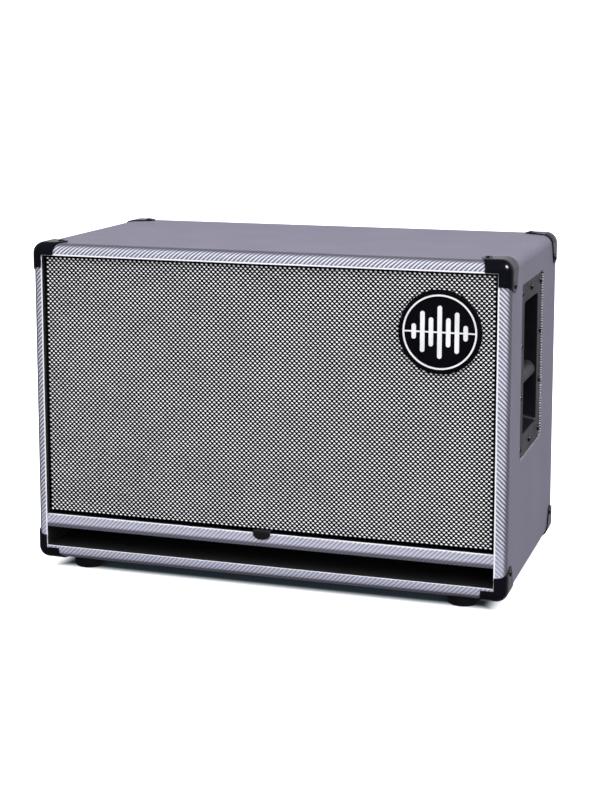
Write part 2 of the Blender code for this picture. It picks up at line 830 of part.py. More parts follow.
def build_badge(carrier):
    """Make the badge's disc and the plain level-bar emblem on it."""
    rear = CLOTH_FRONT - GAP
    centre = Vector((WIDTH / 2 - BADGE_INSET_X, rear, TOP - BADGE_INSET_Z))
    disc = [
        (0, 0),
        (BADGE_RADIUS, 0),
        (BADGE_RADIUS, BADGE_THICK - BADGE_CHAMFER),
        (BADGE_RADIUS - BADGE_CHAMFER, BADGE_THICK),
        (0, BADGE_THICK),
    ]
    finish(turned("badge_disc", disc, centre, (0, -1, 0), BADGE_STEPS), "black_plastic", carrier)

    face = rear - BADGE_THICK - GAP
    ring = [
        (RING_INNER, 0),
        (RING_OUTER, 0),
        (RING_OUTER, EMBLEM_THICK),
        (RING_INNER, EMBLEM_THICK),
    ]
    emblem = turned("badge_emblem", ring, (centre.x, face, centre.z), (0, -1, 0), BADGE_STEPS)
    reach = (RING_INNER + RING_OUTER) / 2
    line = add_box(
        "emblem_line",
        (centre.x - reach, face - EMBLEM_THICK, centre.z - EMBLEM_LINE / 2),
        (centre.x + reach, face, centre.z + EMBLEM_LINE / 2),
    )
    fuse(emblem, line)
    places = [(0, BAR_LENGTHS[0])]
    for index, length in enumerate(BAR_LENGTHS[1:], start=1):
        places += [(index * BAR_PITCH, length), (-index * BAR_PITCH, length)]
    for index, (offset, length) in enumerate(places):
        bar = add_box(
            f"emblem_bar_{index}",
            (centre.x + offset - BAR_WIDTH / 2, face - EMBLEM_THICK, centre.z - length / 2),
            (centre.x + offset + BAR_WIDTH / 2, face, centre.z + length / 2),
        )
        fuse(emblem, bar)
    finish(emblem, "badge_white", carrier)


def build_tab(carrier, cloth_low):
    """Make the webbing tab that comes from under the cloth and hangs over the rail."""
    top = cloth_low - GAP
    front = FRONT - TAB_PROUD
    rear = FRAME_FRONT + TAB_HOLD
    bend = TAB_THICK * 2
    bottom = RAIL_TOP - TAB_DROP
    outline = [(rear, top), (rear, top - TAB_THICK)]
    outline += arc((front + bend, top - bend), bend - TAB_THICK, 90, 180, 3)
    outline += [(front + TAB_THICK, bottom), (front, bottom)]
    outline += arc((front + bend, top - bend), bend, 180, 90, 3)
    tab = flat_solid("pull_tab", outline, TAB_WIDTH, side_frame(TAB_X))
    finish(tab, "webbing", carrier)


# Corner protectors and feet


def flange_outline():
    """Outline of a protector's flange: distances along the face and into the depth."""
    reach = 2 * CORNER_PROUD
    circles = [
        (-reach, -reach, MM),
        (CORNER_LEG - 2 * MM, -2 * reach, MM),
        (*CORNER_SCREW, CORNER_TIP),
        (*CORNER_HEEL, CORNER_HEEL_RADIUS),
        (-reach, CORNER_HEEL[1] + CORNER_HEEL_RADIUS - MM, MM),
    ]
    return wrapped_circles(circles, 12)


def build_corners():
    """Make one corner protector and copy it to the other seven corners."""
    corner_x = WIDTH / 2
    piece = cabinet_blank("corner_front_right_top", -CORNER_PROUD)
    cut(piece, cabinet_blank("corner_inside", -GAP))

    # Overlapping guides leave the two flanges and the band on the front
    plan = [(corner_x - along, FRONT + deep) for along, deep in flange_outline()]
    side = [(FRONT + deep, TOP - along) for along, deep in flange_outline()]
    guides = [
        flat_solid("corner_top_guide", plan, 2 * CORNER_WRAP, plan_frame(TOP)),
        flat_solid("corner_side_guide", side, 2 * CORNER_WRAP, side_frame(corner_x)),
    ]
    reach = CORNER_PROUD * 2
    for index, (wide, tall) in enumerate(((CORNER_LEG, CORNER_BAND), (CORNER_BAND, CORNER_LEG))):
        guides.append(add_box(
            f"corner_band_{index}",
            (corner_x - wide, FRONT - reach, TOP - tall),
            (corner_x + reach, FRONT + CORNER_WRAP, TOP + reach),
        ))
    keep(piece, gathered("corner_guide", guides))
    piece.modifiers[-1].use_self = True
    weld = piece.modifiers.new("weld", "WELD")
    weld.merge_threshold = MERGE

    seat_y = FRONT + CORNER_SCREW[1]
    seats = (
        ((corner_x - CORNER_SCREW[0], seat_y, TOP + CORNER_PROUD), (0, 0, 1)),
        ((corner_x + CORNER_PROUD, seat_y, TOP - CORNER_SCREW[0]), (1, 0, 0)),
    )
    for index, (seat, normal) in enumerate(seats):
        fuse(piece, screw_head(f"corner_screw_{index}", seat, normal, CORNER_SCREW_RADIUS))
    bpy.context.view_layer.update()
    for depth_label, flip_y in (("front", 1), ("rear", -1)):
        for side_label, flip_x in (("left", -1), ("right", 1)):
            for level_label, flip_z in (("bottom", -1), ("top", 1)):
                name = f"corner_{depth_label}_{side_label}_{level_label}"
                if name != piece.name:
                    copy = mirrored(piece, name, (flip_x, flip_y, flip_z))
                    finish(copy, "black_plastic")
    finish(piece, "black_plastic")


def build_feet():
    """Make the four rubber feet, each with a blind screw well."""
    top = UNDERSIDE - GAP
    outline = [
        (0, top),
        (FOOT_RADIUS, top),
        (FOOT_RADIUS, FOOT_EDGE * 2),
        (FOOT_BASE_RADIUS, 0),
        (FOOT_BORE, 0),
        (FOOT_BORE, FOOT_BORE_DEPTH),
        (0, FOOT_BORE_DEPTH),
    ]
    for depth_label, y in (("front", FRONT + FOOT_INSET_Y), ("rear", BACK - FOOT_INSET_Y)):
        for side_label, x in (("left", FOOT_INSET_X - WIDTH / 2), ("right", WIDTH / 2 - FOOT_INSET_X)):
            name = f"foot_{depth_label}_{side_label}"
            finish(turned(name, outline, (x, y, 0), (0, 0, 1), FOOT_STEPS), "black_rubber")


# Side handles


def build_handles():
    """Make each side's pressed dish with its ten screws and its grip bar."""
    for label, sign in (("left", -1), ("right", 1)):
        centre = handle_centre(sign)
        xs = sorted((centre.x, centre.x - sign * PLATE_THICK))
        dish = add_box(
            "handle_dish_" + label,
            (xs[0], centre.y - PLATE_DEPTHWISE / 2, centre.z - PLATE_TALL / 2),
            (xs[1], centre.y + PLATE_DEPTHWISE / 2, centre.z + PLATE_TALL / 2),
        )
        round_along(dish, 0, PLATE_CORNER, 3)
        bowl = handle_bowl(label + "_bowl", sign, POCKET_WALL)
        bowl.location.x -= sign * BITE
        fuse(dish, bowl)
        pocket = handle_bowl(label + "_pocket", sign, 0)
        pocket.scale.x = 1 + 2 * BITE / POCKET_DEPTH
        cut(dish, pocket)
        for column in (-1, 0, 1):
            for row in (-1.5, -0.5, 0.5, 1.5):
                if column == 0 and abs(row) < 1:
                    continue
                offset = Vector((0, column * PLATE_SCREW_PITCH, row * PLATE_SCREW_PITCH))
                head = f"{label}_plate_screw_{column + 1}_{int(row + 2)}"
                fuse(dish, screw_head(head, centre + offset, (sign, 0, 0), PLATE_SCREW_RADIUS))
        finish(dish, "black_steel")

        # The pocket narrows with depth, so the bar is as long as the pocket is at its axis
        depth_share = (GRIP_SETBACK + GRIP_RADIUS) / POCKET_DEPTH
        half = POCKET_WIDE / 2 * (1 - (1 - POCKET_TAPER) * depth_share) - GAP
        x, z = centre.x - sign * GRIP_SETBACK, centre.z - GRIP_DROP
        grip = add_rod(
            "handle_grip_" + label,
            GRIP_RADIUS,
            (x, centre.y - half, z),
            (x, centre.y + half, z),
            GRIP_STEPS,
        )
        finish(grip, "black_plastic")


# Woofers


def woofer_centre(sign):
    """Point on a woofer's axis in the baffle's front face."""
    return Vector((sign * WOOFER_X, BAFFLE_FRONT, UNDERSIDE + WOOFER_Z))


def build_basket(label, centre):
    """Make the pressed frame with its flange, windows, ledge and terminal block."""
    flange_rear = WOOFER_FLUSH + WOOFER_FLANGE
    rim = WOOFER_CUTOUT - SEAT_GAP * 3
    ledge = BASKET_CONE_END + BASKET_WALL
    outline = [
        (WOOFER_RADIUS, WOOFER_FLUSH),
        (WOOFER_RADIUS, flange_rear),
        (rim, flange_rear),
        (rim, flange_rear + BASKET_WALL * 4),
        (BASKET_CUP_RADIUS, ledge),
        (BASKET_CUP_RADIUS, BASKET_PLATE + BASKET_WALL),
        (BASKET_PLATE_BORE, BASKET_PLATE + BASKET_WALL),
        (BASKET_PLATE_BORE, BASKET_PLATE),
        (BASKET_CUP_BORE, BASKET_PLATE),
        (BASKET_CUP_BORE, ledge + BASKET_WALL),
        (BASKET_CUP_BORE - BASKET_LEDGE, ledge + BASKET_WALL),
        (BASKET_CUP_BORE - BASKET_LEDGE, ledge),
        (BASKET_CUP_BORE, ledge),
        (BASKET_CUP_BORE, BASKET_CONE_END),
        (rim - BASKET_WALL, flange_rear + BASKET_WALL * 2),
        (rim - BASKET_WALL, WOOFER_FLUSH),
    ]
    basket = turned(f"woofer_{label}_basket", outline, centre, (0, 1, 0), WOOFER_STEPS)
    near, far = BASKET_WINDOW_SPAN
    spans = ((WOOFER_RADIUS, BASKET_WINDOW / 2), (BASKET_WINDOW / 2, WOOFER_RADIUS))
    for index, (half_x, half_z) in enumerate(spans):
        window = add_box(
            f"{label}_basket_window_{index}",
            (centre.x - half_x, centre.y + near, centre.z - half_z),
            (centre.x + half_x, centre.y + far, centre.z + half_z),
        )
        cut(basket, window)
    block_top = centre.z - BASKET_CUP_RADIUS + BASKET_WALL
    block_front = centre.y + ledge + BASKET_WALL
    block = add_box(
        label + "_terminal",
        (centre.x - TERMINAL, block_front, block_top - TERMINAL),
        (centre.x + TERMINAL, block_front + TERMINAL, block_top),
    )
    fuse(basket, block)
    bolt_radius = WOOFER_RADIUS - WOOFER_BOLT_INSET
    for index in range(WOOFER_BOLTS):
        angle = 2 * math.pi * (index + 0.5) / WOOFER_BOLTS
        seat = (
            centre.x + bolt_radius * math.cos(angle),
            centre.y + WOOFER_FLUSH,
            centre.z + bolt_radius * math.sin(angle),
        )
        fuse(basket, screw_head(f"{label}_woofer_screw_{index}", seat, (0, -1, 0), PLATE_SCREW_RADIUS))
    finish(basket, "black_steel")


def build_motor(label, centre):
    """Make the magnet with its plates, voice-coil gap and vented pole."""
    front = BASKET_PLATE + BASKET_WALL + GAP
    magnet_front = front + POLE_PLATE_DEPTH
    magnet_rear = magnet_front + MAGNET_DEPTH
    rear = magnet_rear + POLE_PLATE_DEPTH
    gap_inner = COIL_RADIUS - COIL_WALL - COIL_GAP
    gap_outer = COIL_RADIUS + COIL_GAP
    gap_floor = front + POLE_GAP_DEPTH
    outline = [
        (POLE_PLATE_RADIUS, front),
        (POLE_PLATE_RADIUS, magnet_front),
        (MAGNET_RADIUS, magnet_front),
        (MAGNET_RADIUS, magnet_rear),
        (POLE_PLATE_RADIUS, magnet_rear),
        (POLE_PLATE_RADIUS, rear),
        (POLE_VENT, rear),
        (POLE_VENT, front),
        (gap_inner, front),
        (gap_inner, gap_floor),
        (gap_outer, gap_floor),
        (gap_outer, front),
    ]
    finish(turned(f"woofer_{label}_motor", outline, centre, (0, 1, 0), WOOFER_STEPS), "magnet")


def build_cone(label, centre):
    """Make the paper cone with its glue land and voice-coil former, and its dust cap."""
    inner_edge = CONE_RADIUS - CONE_LAND
    throat = CONE_FRONT + CONE_DEPTH
    slope = (CONE_DEPTH - CONE_SKIN / 2) / (inner_edge - COIL_RADIUS)
    outline = [
        (CONE_RADIUS, CONE_FRONT),
        (CONE_RADIUS, CONE_FRONT + CONE_SKIN),
        (inner_edge, CONE_FRONT + CONE_SKIN),
        (COIL_RADIUS, throat + CONE_SKIN),
        (COIL_RADIUS, COIL_END),
        (COIL_RADIUS - COIL_WALL, COIL_END),
        (COIL_RADIUS - COIL_WALL, throat),
        (COIL_RADIUS, throat - CONE_SKIN / 2),
        (inner_edge, CONE_FRONT),
    ]
    cone = turned(f"woofer_{label}_cone", outline, centre, (0, 1, 0), WOOFER_STEPS)
    finish(cone, "cone_paper")

    seat = CONE_FRONT + (inner_edge - CAP_RADIUS) * slope - 2 * GAP
    dome = (CAP_RADIUS ** 2 + CAP_RISE ** 2) / (2 * CAP_RISE)
    half_angle = math.degrees(math.asin(CAP_RADIUS / dome))
    middle = (0, seat + dome - CAP_RISE)
    outer = arc(middle, dome, -90, -90 + half_angle, 3)
    inner = arc(middle, dome - CAP_SKIN, -90 + half_angle, -90, 3)
    outer[0] = (0, middle[1] - dome)
    inner[-1] = (0, middle[1] - dome + CAP_SKIN)
    cap = turned(f"woofer_{label}_dust_cap", outer + inner, centre, (0, 1, 0), WOOFER_STEPS)
    finish(cap, "cone_paper")


def build_suspension(label, centre):
    """Make the half-roll surround and the corrugated spider."""
    rim = WOOFER_CUTOUT - SEAT_GAP * 3
    outer_land = WOOFER_FLUSH - GAP
    inner_land = CONE_FRONT - GAP
    roll_inner = CONE_RADIUS + SEAT_GAP
    roll_outer = rim - BASKET_WALL
    middle = (roll_inner + roll_outer) / 2
    radius = (roll_outer - roll_inner) / 2
    outer_arc = arc((middle, inner_land - SURROUND_SKIN), radius, -180, 0, 4)
    inner_arc = arc((middle, inner_land), radius - SURROUND_SKIN, 0, -180, 4)
    outline = [
        (CONE_RADIUS - CONE_LAND, inner_land),
        (CONE_RADIUS - CONE_LAND, inner_land - SURROUND_SKIN),
        *outer_arc[:-1],
        (roll_outer, outer_land - SURROUND_SKIN),
        (rim + CONE_LAND, outer_land - SURROUND_SKIN),
        (rim + CONE_LAND, outer_land),
        (roll_outer, outer_land),
        *inner_arc,
    ]
    surround = turned(f"woofer_{label}_surround", outline, centre, (0, 1, 0), WOOFER_STEPS)
    finish(surround, "black_rubber")

    start = COIL_RADIUS + GAP
    end = BASKET_CUP_BORE - GAP
    land = end - BASKET_LEDGE + GAP
    rest = BASKET_CONE_END + BASKET_WALL - GAP
    waves = 6
    rear = []
    for index in range(waves + 1):
        lift = -SPIDER_WAVE * (index % 2)
        rear.append((start + (land - start) * index / waves, rest + lift))
    rear.append((end, rest))
    front = [(radius, depth - SPIDER_SKIN) for radius, depth in reversed(rear)]
    spider = turned(f"woofer_{label}_spider", rear + front, centre, (0, 1, 0), WOOFER_STEPS)
    finish(spider, "spider_cloth")


def build_woofers():
    """Make both woofers."""
    for label, sign in (("left", -1), ("right", 1)):
        centre = woofer_centre(sign)
        build_basket(label, centre)
        build_motor(label, centre)
        build_cone(label, centre)
        build_suspension(label, centre)


# Horn


def horn_centre():
    """Middle of the horn's flange where it meets the baffle."""
    return Vector((0, BAFFLE_FRONT, UNDERSIDE + HORN_Z))


def horn_form(name, margin, front, rear):
    """Make the flare's tapering form, grown by a margin."""
    centre = horn_centre()
    half_x = HORN_FLANGE_WIDE / 2 - HORN_RIM + margin
    half_z = HORN_FLANGE_TALL / 2 - HORN_RIM + margin
    form = add_box(
        name,
        (centre.x - half_x, front, centre.z - half_z),
        (centre.x + half_x, rear, centre.z + half_z),
    )
    for vertex in form.data.vertices:
        if vertex.co.y > 0:
            vertex.co.x *= (THROAT_RADIUS + margin) / half_x
            vertex.co.z *= (THROAT_RADIUS + margin) / half_z
    return form


def build_horn():
    """Make the horn's flare and the compression driver behind it."""
    centre = horn_centre()
    front = centre.y - GAP - HORN_FLANGE_THICK
    throat = front + HORN_LENGTH
    horn = add_box(
        "horn_flare",
        (centre.x - HORN_FLANGE_WIDE / 2, front, centre.z - HORN_FLANGE_TALL / 2),
        (centre.x + HORN_FLANGE_WIDE / 2, centre.y - GAP, centre.z + HORN_FLANGE_TALL / 2),
    )
    fuse(horn, horn_form("horn_outside", HORN_WALL, front + BITE, throat))
    collar_front = throat - THROAT_FLANGE_THICK
    fuse(horn, add_rod(
        "horn_collar",
        THROAT_FLANGE_RADIUS,
        (centre.x, collar_front, centre.z),
        (centre.x, throat + BITE, centre.z),
        HORN_STEPS,
    ))
    cut(horn, horn_form("horn_inside", 0, front - BITE, throat - THROAT_FLANGE_THICK))
    cut(horn, add_rod(
        "horn_throat",
        THROAT_RADIUS,
        (centre.x, collar_front - BITE, centre.z),
        (centre.x, throat + OVERRUN, centre.z),
        HORN_STEPS,
    ))
    finish(horn, "black_plastic")

    start = throat + BITE + GAP
    outline = [
        (THROAT_RADIUS, 0),
        (DRIVER_RADIUS - DRIVER_EDGE, 0),
        (DRIVER_RADIUS, DRIVER_EDGE),
        (DRIVER_RADIUS, DRIVER_LENGTH - DRIVER_EDGE),
        (DRIVER_RADIUS - DRIVER_EDGE, DRIVER_LENGTH),
        (0, DRIVER_LENGTH),
    ]
    bore = [(0, DRIVER_EDGE * 2), (THROAT_RADIUS, DRIVER_EDGE * 2)]
    driver = turned(
        "compression_driver", bore + outline, (centre.x, start, centre.z), (0, 1, 0), HORN_STEPS
    )
    finish(driver, "magnet")


# Connections on the back


def build_connections():
    """Make the dished plate, its sockets, the level control and its knob."""
    z = UNDERSIDE + DISH_Z
    flange_rear = BACK_OUTER + GAP
    face = flange_rear + DISH_WALL
    floor_face = face - DISH_DEPTH
    floor_inner = floor_face - DISH_WALL
    plate = add_box(
        "connection_plate",
        (-DISH_FLANGE_WIDE / 2, flange_rear, z - DISH_FLANGE_TALL / 2),
        (DISH_FLANGE_WIDE / 2, face, z + DISH_FLANGE_TALL / 2),
    )
    fuse(plate, add_box(
        "dish_outside",
        (-DISH_WIDE / 2 - DISH_WALL, floor_inner, z - DISH_TALL / 2 - DISH_WALL),
        (DISH_WIDE / 2 + DISH_WALL, face - BITE, z + DISH_TALL / 2 + DISH_WALL),
    ))
    cut(plate, add_box(
        "dish_inside",
        (-DISH_WIDE / 2, floor_face, z - DISH_TALL / 2),
        (DISH_WIDE / 2, face + OVERRUN, z + DISH_TALL / 2),
    ))
    holes = [(x, SOCKET_BARREL + GAP) for x in SOCKET_XS] + [(KNOB_X, BUSH_RADIUS + GAP)]
    for index, (x, radius) in enumerate(holes):
        drill = add_rod(
            f"dish_hole_{index}",
            radius,
            (x, floor_inner - OVERRUN, z),
            (x, floor_face + BITE, z),
            ROUND_STEPS,
        )
        cut(plate, drill)
    for index, (side, level) in enumerate(((-1, -1), (-1, 1), (1, -1), (1, 1))):
        seat = (
            side * (DISH_FLANGE_WIDE + DISH_WIDE) / 4,
            face,
            z + level * (DISH_FLANGE_TALL + DISH_TALL) / 4,
        )
        fuse(plate, screw_head(f"dish_screw_{index}", seat, (0, 1, 0), PLATE_SCREW_RADIUS))
    finish(plate, "black_steel")

    # Heights run outwards from the inner face of the dish's floor
    for index, x in enumerate(SOCKET_XS, start=1):
        nut_low = DISH_WALL + GAP
        nut_high = nut_low + SOCKET_NUT_HEIGHT
        outline = [
            (0, -SOCKET_LENGTH),
            (SOCKET_BODY, -SOCKET_LENGTH),
            (SOCKET_BODY, -GAP),
            (SOCKET_BARREL, -GAP),
            (SOCKET_BARREL, nut_low),
            (SOCKET_NUT, nut_low),
            (SOCKET_NUT, nut_high),
            (SOCKET_BORE, nut_high),
            (SOCKET_BORE, SOCKET_END_WALL - SOCKET_LENGTH),
            (0, SOCKET_END_WALL - SOCKET_LENGTH),
        ]
        socket = turned(f"input_socket_{index}", outline, (x, floor_inner, z), (0, 1, 0), ROUND_STEPS)
        finish(socket, "nickel")

    bore = SPINDLE_RADIUS + RUNNING_GAP
    nut_low = DISH_WALL + GAP
    nut_high = nut_low + NUT_HEIGHT
    outline = [
        (bore, -POT_LENGTH),
        (POT_RADIUS, -POT_LENGTH),
        (POT_RADIUS, -GAP),
        (BUSH_RADIUS, -GAP),
        (BUSH_RADIUS, nut_low),
        (NUT_RADIUS, nut_low),
        (NUT_RADIUS, nut_high),
        (bore, nut_high),
    ]
    control = turned("level_control", outline, (KNOB_X, floor_inner, z), (0, 1, 0), ROUND_STEPS)
    finish(control, "nickel")

    knob_base = DISH_WALL + KNOB_LIFT
    knob_top = knob_base + KNOB_HEIGHT
    outline = [
        (0, -SPINDLE_TAIL),
        (SPINDLE_RADIUS, -SPINDLE_TAIL),
        (SPINDLE_RADIUS, knob_base),
        (KNOB_RADIUS, knob_base),
        (KNOB_RADIUS - KNOB_POINTER, knob_top),
        (0, knob_top),
    ]
    knob = turned("level_knob", outline, (KNOB_X, floor_inner, z), (0, 1, 0), ROUND_STEPS)
    pointer = add_box(
        "knob_pointer",
        (KNOB_X - KNOB_POINTER / 2, floor_inner + knob_top - BITE, z),
        (KNOB_X + KNOB_POINTER / 2, floor_inner + knob_top + BITE, z + KNOB_RADIUS - 2 * KNOB_POINTER),
    )
    fuse(knob, pointer)
    finish(knob, "black_plastic")


# Crossover and its leads


def build_crossover():
    """Make the filter board on its standoffs, with the parts soldered to it."""
    z = UNDERSIDE + BOARD_Z
    board_rear = BACK_INNER - GAP - STANDOFF
    board_front = board_rear - BOARD_THICK
    board = add_box(
        "crossover_board",
        (BOARD_X - BOARD_WIDE / 2, board_front, z - BOARD_TALL / 2),
        (BOARD_X + BOARD_WIDE / 2, board_rear, z + BOARD_TALL / 2),
    )
    for index, (side, level) in enumerate(((-1, -1), (-1, 1), (1, -1), (1, 1))):
        x = BOARD_X + side * (BOARD_WIDE / 2 - STANDOFF_INSET)
        height = z + level * (BOARD_TALL / 2 - STANDOFF_INSET)
        fuse(board, add_rod(
            f"standoff_{index}",
            STANDOFF_RADIUS,
            (x, board_rear - BITE, height),
            (x, BACK_INNER - GAP, height),
            SCREW_SIDES,
        ))
    coil_x = BOARD_X - BOARD_WIDE / 4
    fuse(board, add_rod(
        "filter_coil",
        COIL_CORE_RADIUS,
        (coil_x, board_front - COIL_CORE_HEIGHT, z + STANDOFF_INSET),
        (coil_x, board_front + BITE, z + STANDOFF_INSET),
        GRIP_STEPS,
    ))
    for index, level in enumerate((0.0, 1.3)):
        height = z + level * 2 * CAPACITOR_RADIUS
        start = BOARD_X + STANDOFF_INSET
        axis_y = board_front - CAPACITOR_RADIUS + BITE
        fuse(board, add_rod(
            f"filter_capacitor_{index}",
            CAPACITOR_RADIUS,
            (start, axis_y, height),
            (start + CAPACITOR_LENGTH, axis_y, height),
            GRIP_STEPS,
        ))
    wide, deep, tall = STRIP_SIZE
    strip_low = z - BOARD_TALL / 2 + STANDOFF_INSET
    fuse(board, add_box(
        "terminal_strip",
        (BOARD_X - wide / 2, board_front - deep, strip_low),
        (BOARD_X + wide / 2, board_front + BITE, strip_low + tall),
    ))
    finish(board, "board_green")
    build_leads(board_front - deep - GAP, strip_low + tall / 2)


def build_leads(strip_face, strip_z):
    """Make the leads from the terminal strip to the sockets and drivers."""
    step = STRIP_SIZE[0] / 5
    start_out = 12 * MM
    places = [BOARD_X + step * offset for offset in (-1.5, -0.5, 0.5, 1.5)]

    block_rear = BAFFLE_FRONT + BASKET_CONE_END + 2 * BASKET_WALL + TERMINAL + GAP
    block_z = UNDERSIDE + WOOFER_Z - BASKET_CUP_RADIUS + BASKET_WALL - TERMINAL / 2
    low_z = block_z - 16 * MM
    lead("woofer_lead_left", [
        (places[0], strip_face, strip_z),
        (places[0], strip_face - start_out, strip_z),
        (-WOOFER_X - 20 * MM, strip_face - 50 * MM, low_z),
        (-WOOFER_X - 4 * MM, block_rear + 40 * MM, low_z),
        (-WOOFER_X, block_rear + start_out, block_z),
        (-WOOFER_X, block_rear, block_z),
    ])
    lead("woofer_lead_right", [
        (places[1], strip_face, strip_z),
        (places[1], strip_face - start_out, strip_z),
        (places[1] + 20 * MM, strip_face - 45 * MM, low_z - 10 * MM),
        (0, strip_face - 60 * MM, low_z - 14 * MM),
        (WOOFER_X - 30 * MM, block_rear + 70 * MM, low_z),
        (WOOFER_X, block_rear + start_out, block_z),
        (WOOFER_X, block_rear, block_z),
    ])

    driver_rear = BAFFLE_FRONT - HORN_FLANGE_THICK + HORN_LENGTH + BITE + DRIVER_LENGTH + GAP
    horn_z = UNDERSIDE + HORN_Z
    lead("horn_lead", [
        (places[2], strip_face, strip_z),
        (places[2], strip_face - start_out, strip_z),
        (places[2] + 30 * MM, strip_face - 60 * MM, strip_z + 30 * MM),
        (-60 * MM, driver_rear + 50 * MM, horn_z - 60 * MM),
        (-6 * MM, driver_rear + 3 * start_out, horn_z - 12 * MM),
        (0, driver_rear + start_out, horn_z),
        (0, driver_rear, horn_z),
    ])

    socket_end = BACK_OUTER + DISH_WALL - DISH_DEPTH - DISH_WALL - SOCKET_LENGTH
    socket_z = UNDERSIDE + DISH_Z
    lead("input_lead", [
        (places[3], strip_face, strip_z),
        (places[3], strip_face - start_out, strip_z),
        (places[3] + 25 * MM, strip_face - 28 * MM, strip_z - 6 * MM),
        (SOCKET_XS[0] - 12 * MM, socket_end - 24 * MM, socket_z - 12 * MM),
        (SOCKET_XS[0], socket_end - start_out, socket_z),
        (SOCKET_XS[0], socket_end, socket_z),
    ])


build_shell()
build_skins()
build_boards()
build_grille()
build_corners()
build_feet()
build_handles()
build_woofers()
build_horn()
build_connections()
build_crossover()
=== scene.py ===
"""Looks of a bass speaker cabinet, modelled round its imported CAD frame.

Lengths are in metres, +Z is up and the front faces -Y. Each sub-assembly is a
class that builds its meshes with Blender's own modelling tools, gives them
their finishes and sets them on the bodies that carry them.
"""

import logging
import math
from collections.abc import Callable, Iterator, Sequence
from contextlib import contextmanager
from dataclasses import dataclass, replace
from enum import Enum

import bmesh
import bpy
from mathutils import Matrix, Vector
from mathutils.geometry import convex_hull_2d


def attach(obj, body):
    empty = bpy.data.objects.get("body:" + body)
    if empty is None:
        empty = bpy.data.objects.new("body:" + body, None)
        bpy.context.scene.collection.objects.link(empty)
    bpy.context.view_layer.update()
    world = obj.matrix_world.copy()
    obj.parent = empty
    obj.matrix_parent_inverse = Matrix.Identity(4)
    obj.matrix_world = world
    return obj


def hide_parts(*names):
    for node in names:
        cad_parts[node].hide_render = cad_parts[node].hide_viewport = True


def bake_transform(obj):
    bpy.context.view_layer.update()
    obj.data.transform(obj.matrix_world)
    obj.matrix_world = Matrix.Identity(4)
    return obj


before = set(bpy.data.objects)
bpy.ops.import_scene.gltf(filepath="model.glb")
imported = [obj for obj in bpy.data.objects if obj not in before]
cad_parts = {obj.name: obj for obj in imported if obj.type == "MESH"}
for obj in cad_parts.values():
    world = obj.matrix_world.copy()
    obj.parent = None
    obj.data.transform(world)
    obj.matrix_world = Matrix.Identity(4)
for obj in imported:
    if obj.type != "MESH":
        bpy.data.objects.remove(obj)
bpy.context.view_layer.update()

LOG = logging.getLogger("bass_speaker_cabinet")

MM = 0.001
HAIR = 0.01 * MM
GAP = 0.3 * MM
OVERRUN = 20 * MM
FULL_TURN = 2 * math.pi
SOFT_ANGLE = 50

Object = bpy.types.Object
Colour = tuple[float, float, float]
Point = Sequence[float]
Pair = tuple[float, float]
Test = Callable[[Vector, Vector], bool]


class Body(Enum):
    """Moving groups of the CAD frame that pieces ride on."""

    CABINET = "cabinet"
    GRILLE = "grille"
    LEFT_CONE = "woofer_left_moving"
    RIGHT_CONE = "woofer_right_moving"
    KNOB = "knob"


class Side(Enum):
    """Left and right as seen from the front, with the sign of X there."""

    LEFT = -1
    RIGHT = 1

    @property
    def label(self) -> str:
        """Word used in names of nodes and pieces."""
        return self.name.lower()


class Kind(Enum):
    """What edit mode selects."""

    CORNER = "VERT"
    EDGE = "EDGE"
    FACE = "FACE"


class Way(Enum):
    """How one solid works on another."""

    CUT = "DIFFERENCE"
    KEEP = "INTERSECT"
    FUSE = "UNION"


class Grain(Enum):
    """Surface relief of a moulded, coated or painted finish."""

    FINE = "fine"
    PEBBLED = "pebbled"
    BRUSHED = "brushed"


@dataclass(frozen=True)
class Plan:
    """Planes of the cabinet that several pieces are set against."""

    half_width: float = 300 * MM
    front: float = -162.5 * MM
    back: float = 162.5 * MM
    underside: float = 14.5 * MM
    top: float = 414.5 * MM
    edge_radius: float = 12.7 * MM
    skin: float = 0.7 * MM
    seam: float = -150.0 * MM
    seam_gap: float = 2.2 * MM
    opening_x: float = 285.9 * MM
    opening_top: float = 400.4 * MM
    opening_bottom: float = 30.9 * MM
    rail_bottom: float = 54.6 * MM
    rail_top: float = 71.0 * MM
    baffle_front: float = -136.5 * MM
    baffle_rear: float = -121.5 * MM

    @property
    def middle_z(self) -> float:
        """Height of the middle of the box."""
        return (self.underside + self.top) / 2


PLAN = Plan()


def in_mm(*points: Pair) -> list[Pair]:
    """Points given in millimetres, in metres."""
    return [(x * MM, y * MM) for x, y in points]


def runs_along_x(_: Vector, run: Vector) -> bool:
    """Whether an edge runs from side to side."""
    return abs(run.x) > 0.7


def runs_along_y(_: Vector, run: Vector) -> bool:
    """Whether an edge runs from front to back."""
    return abs(run.y) > 0.7


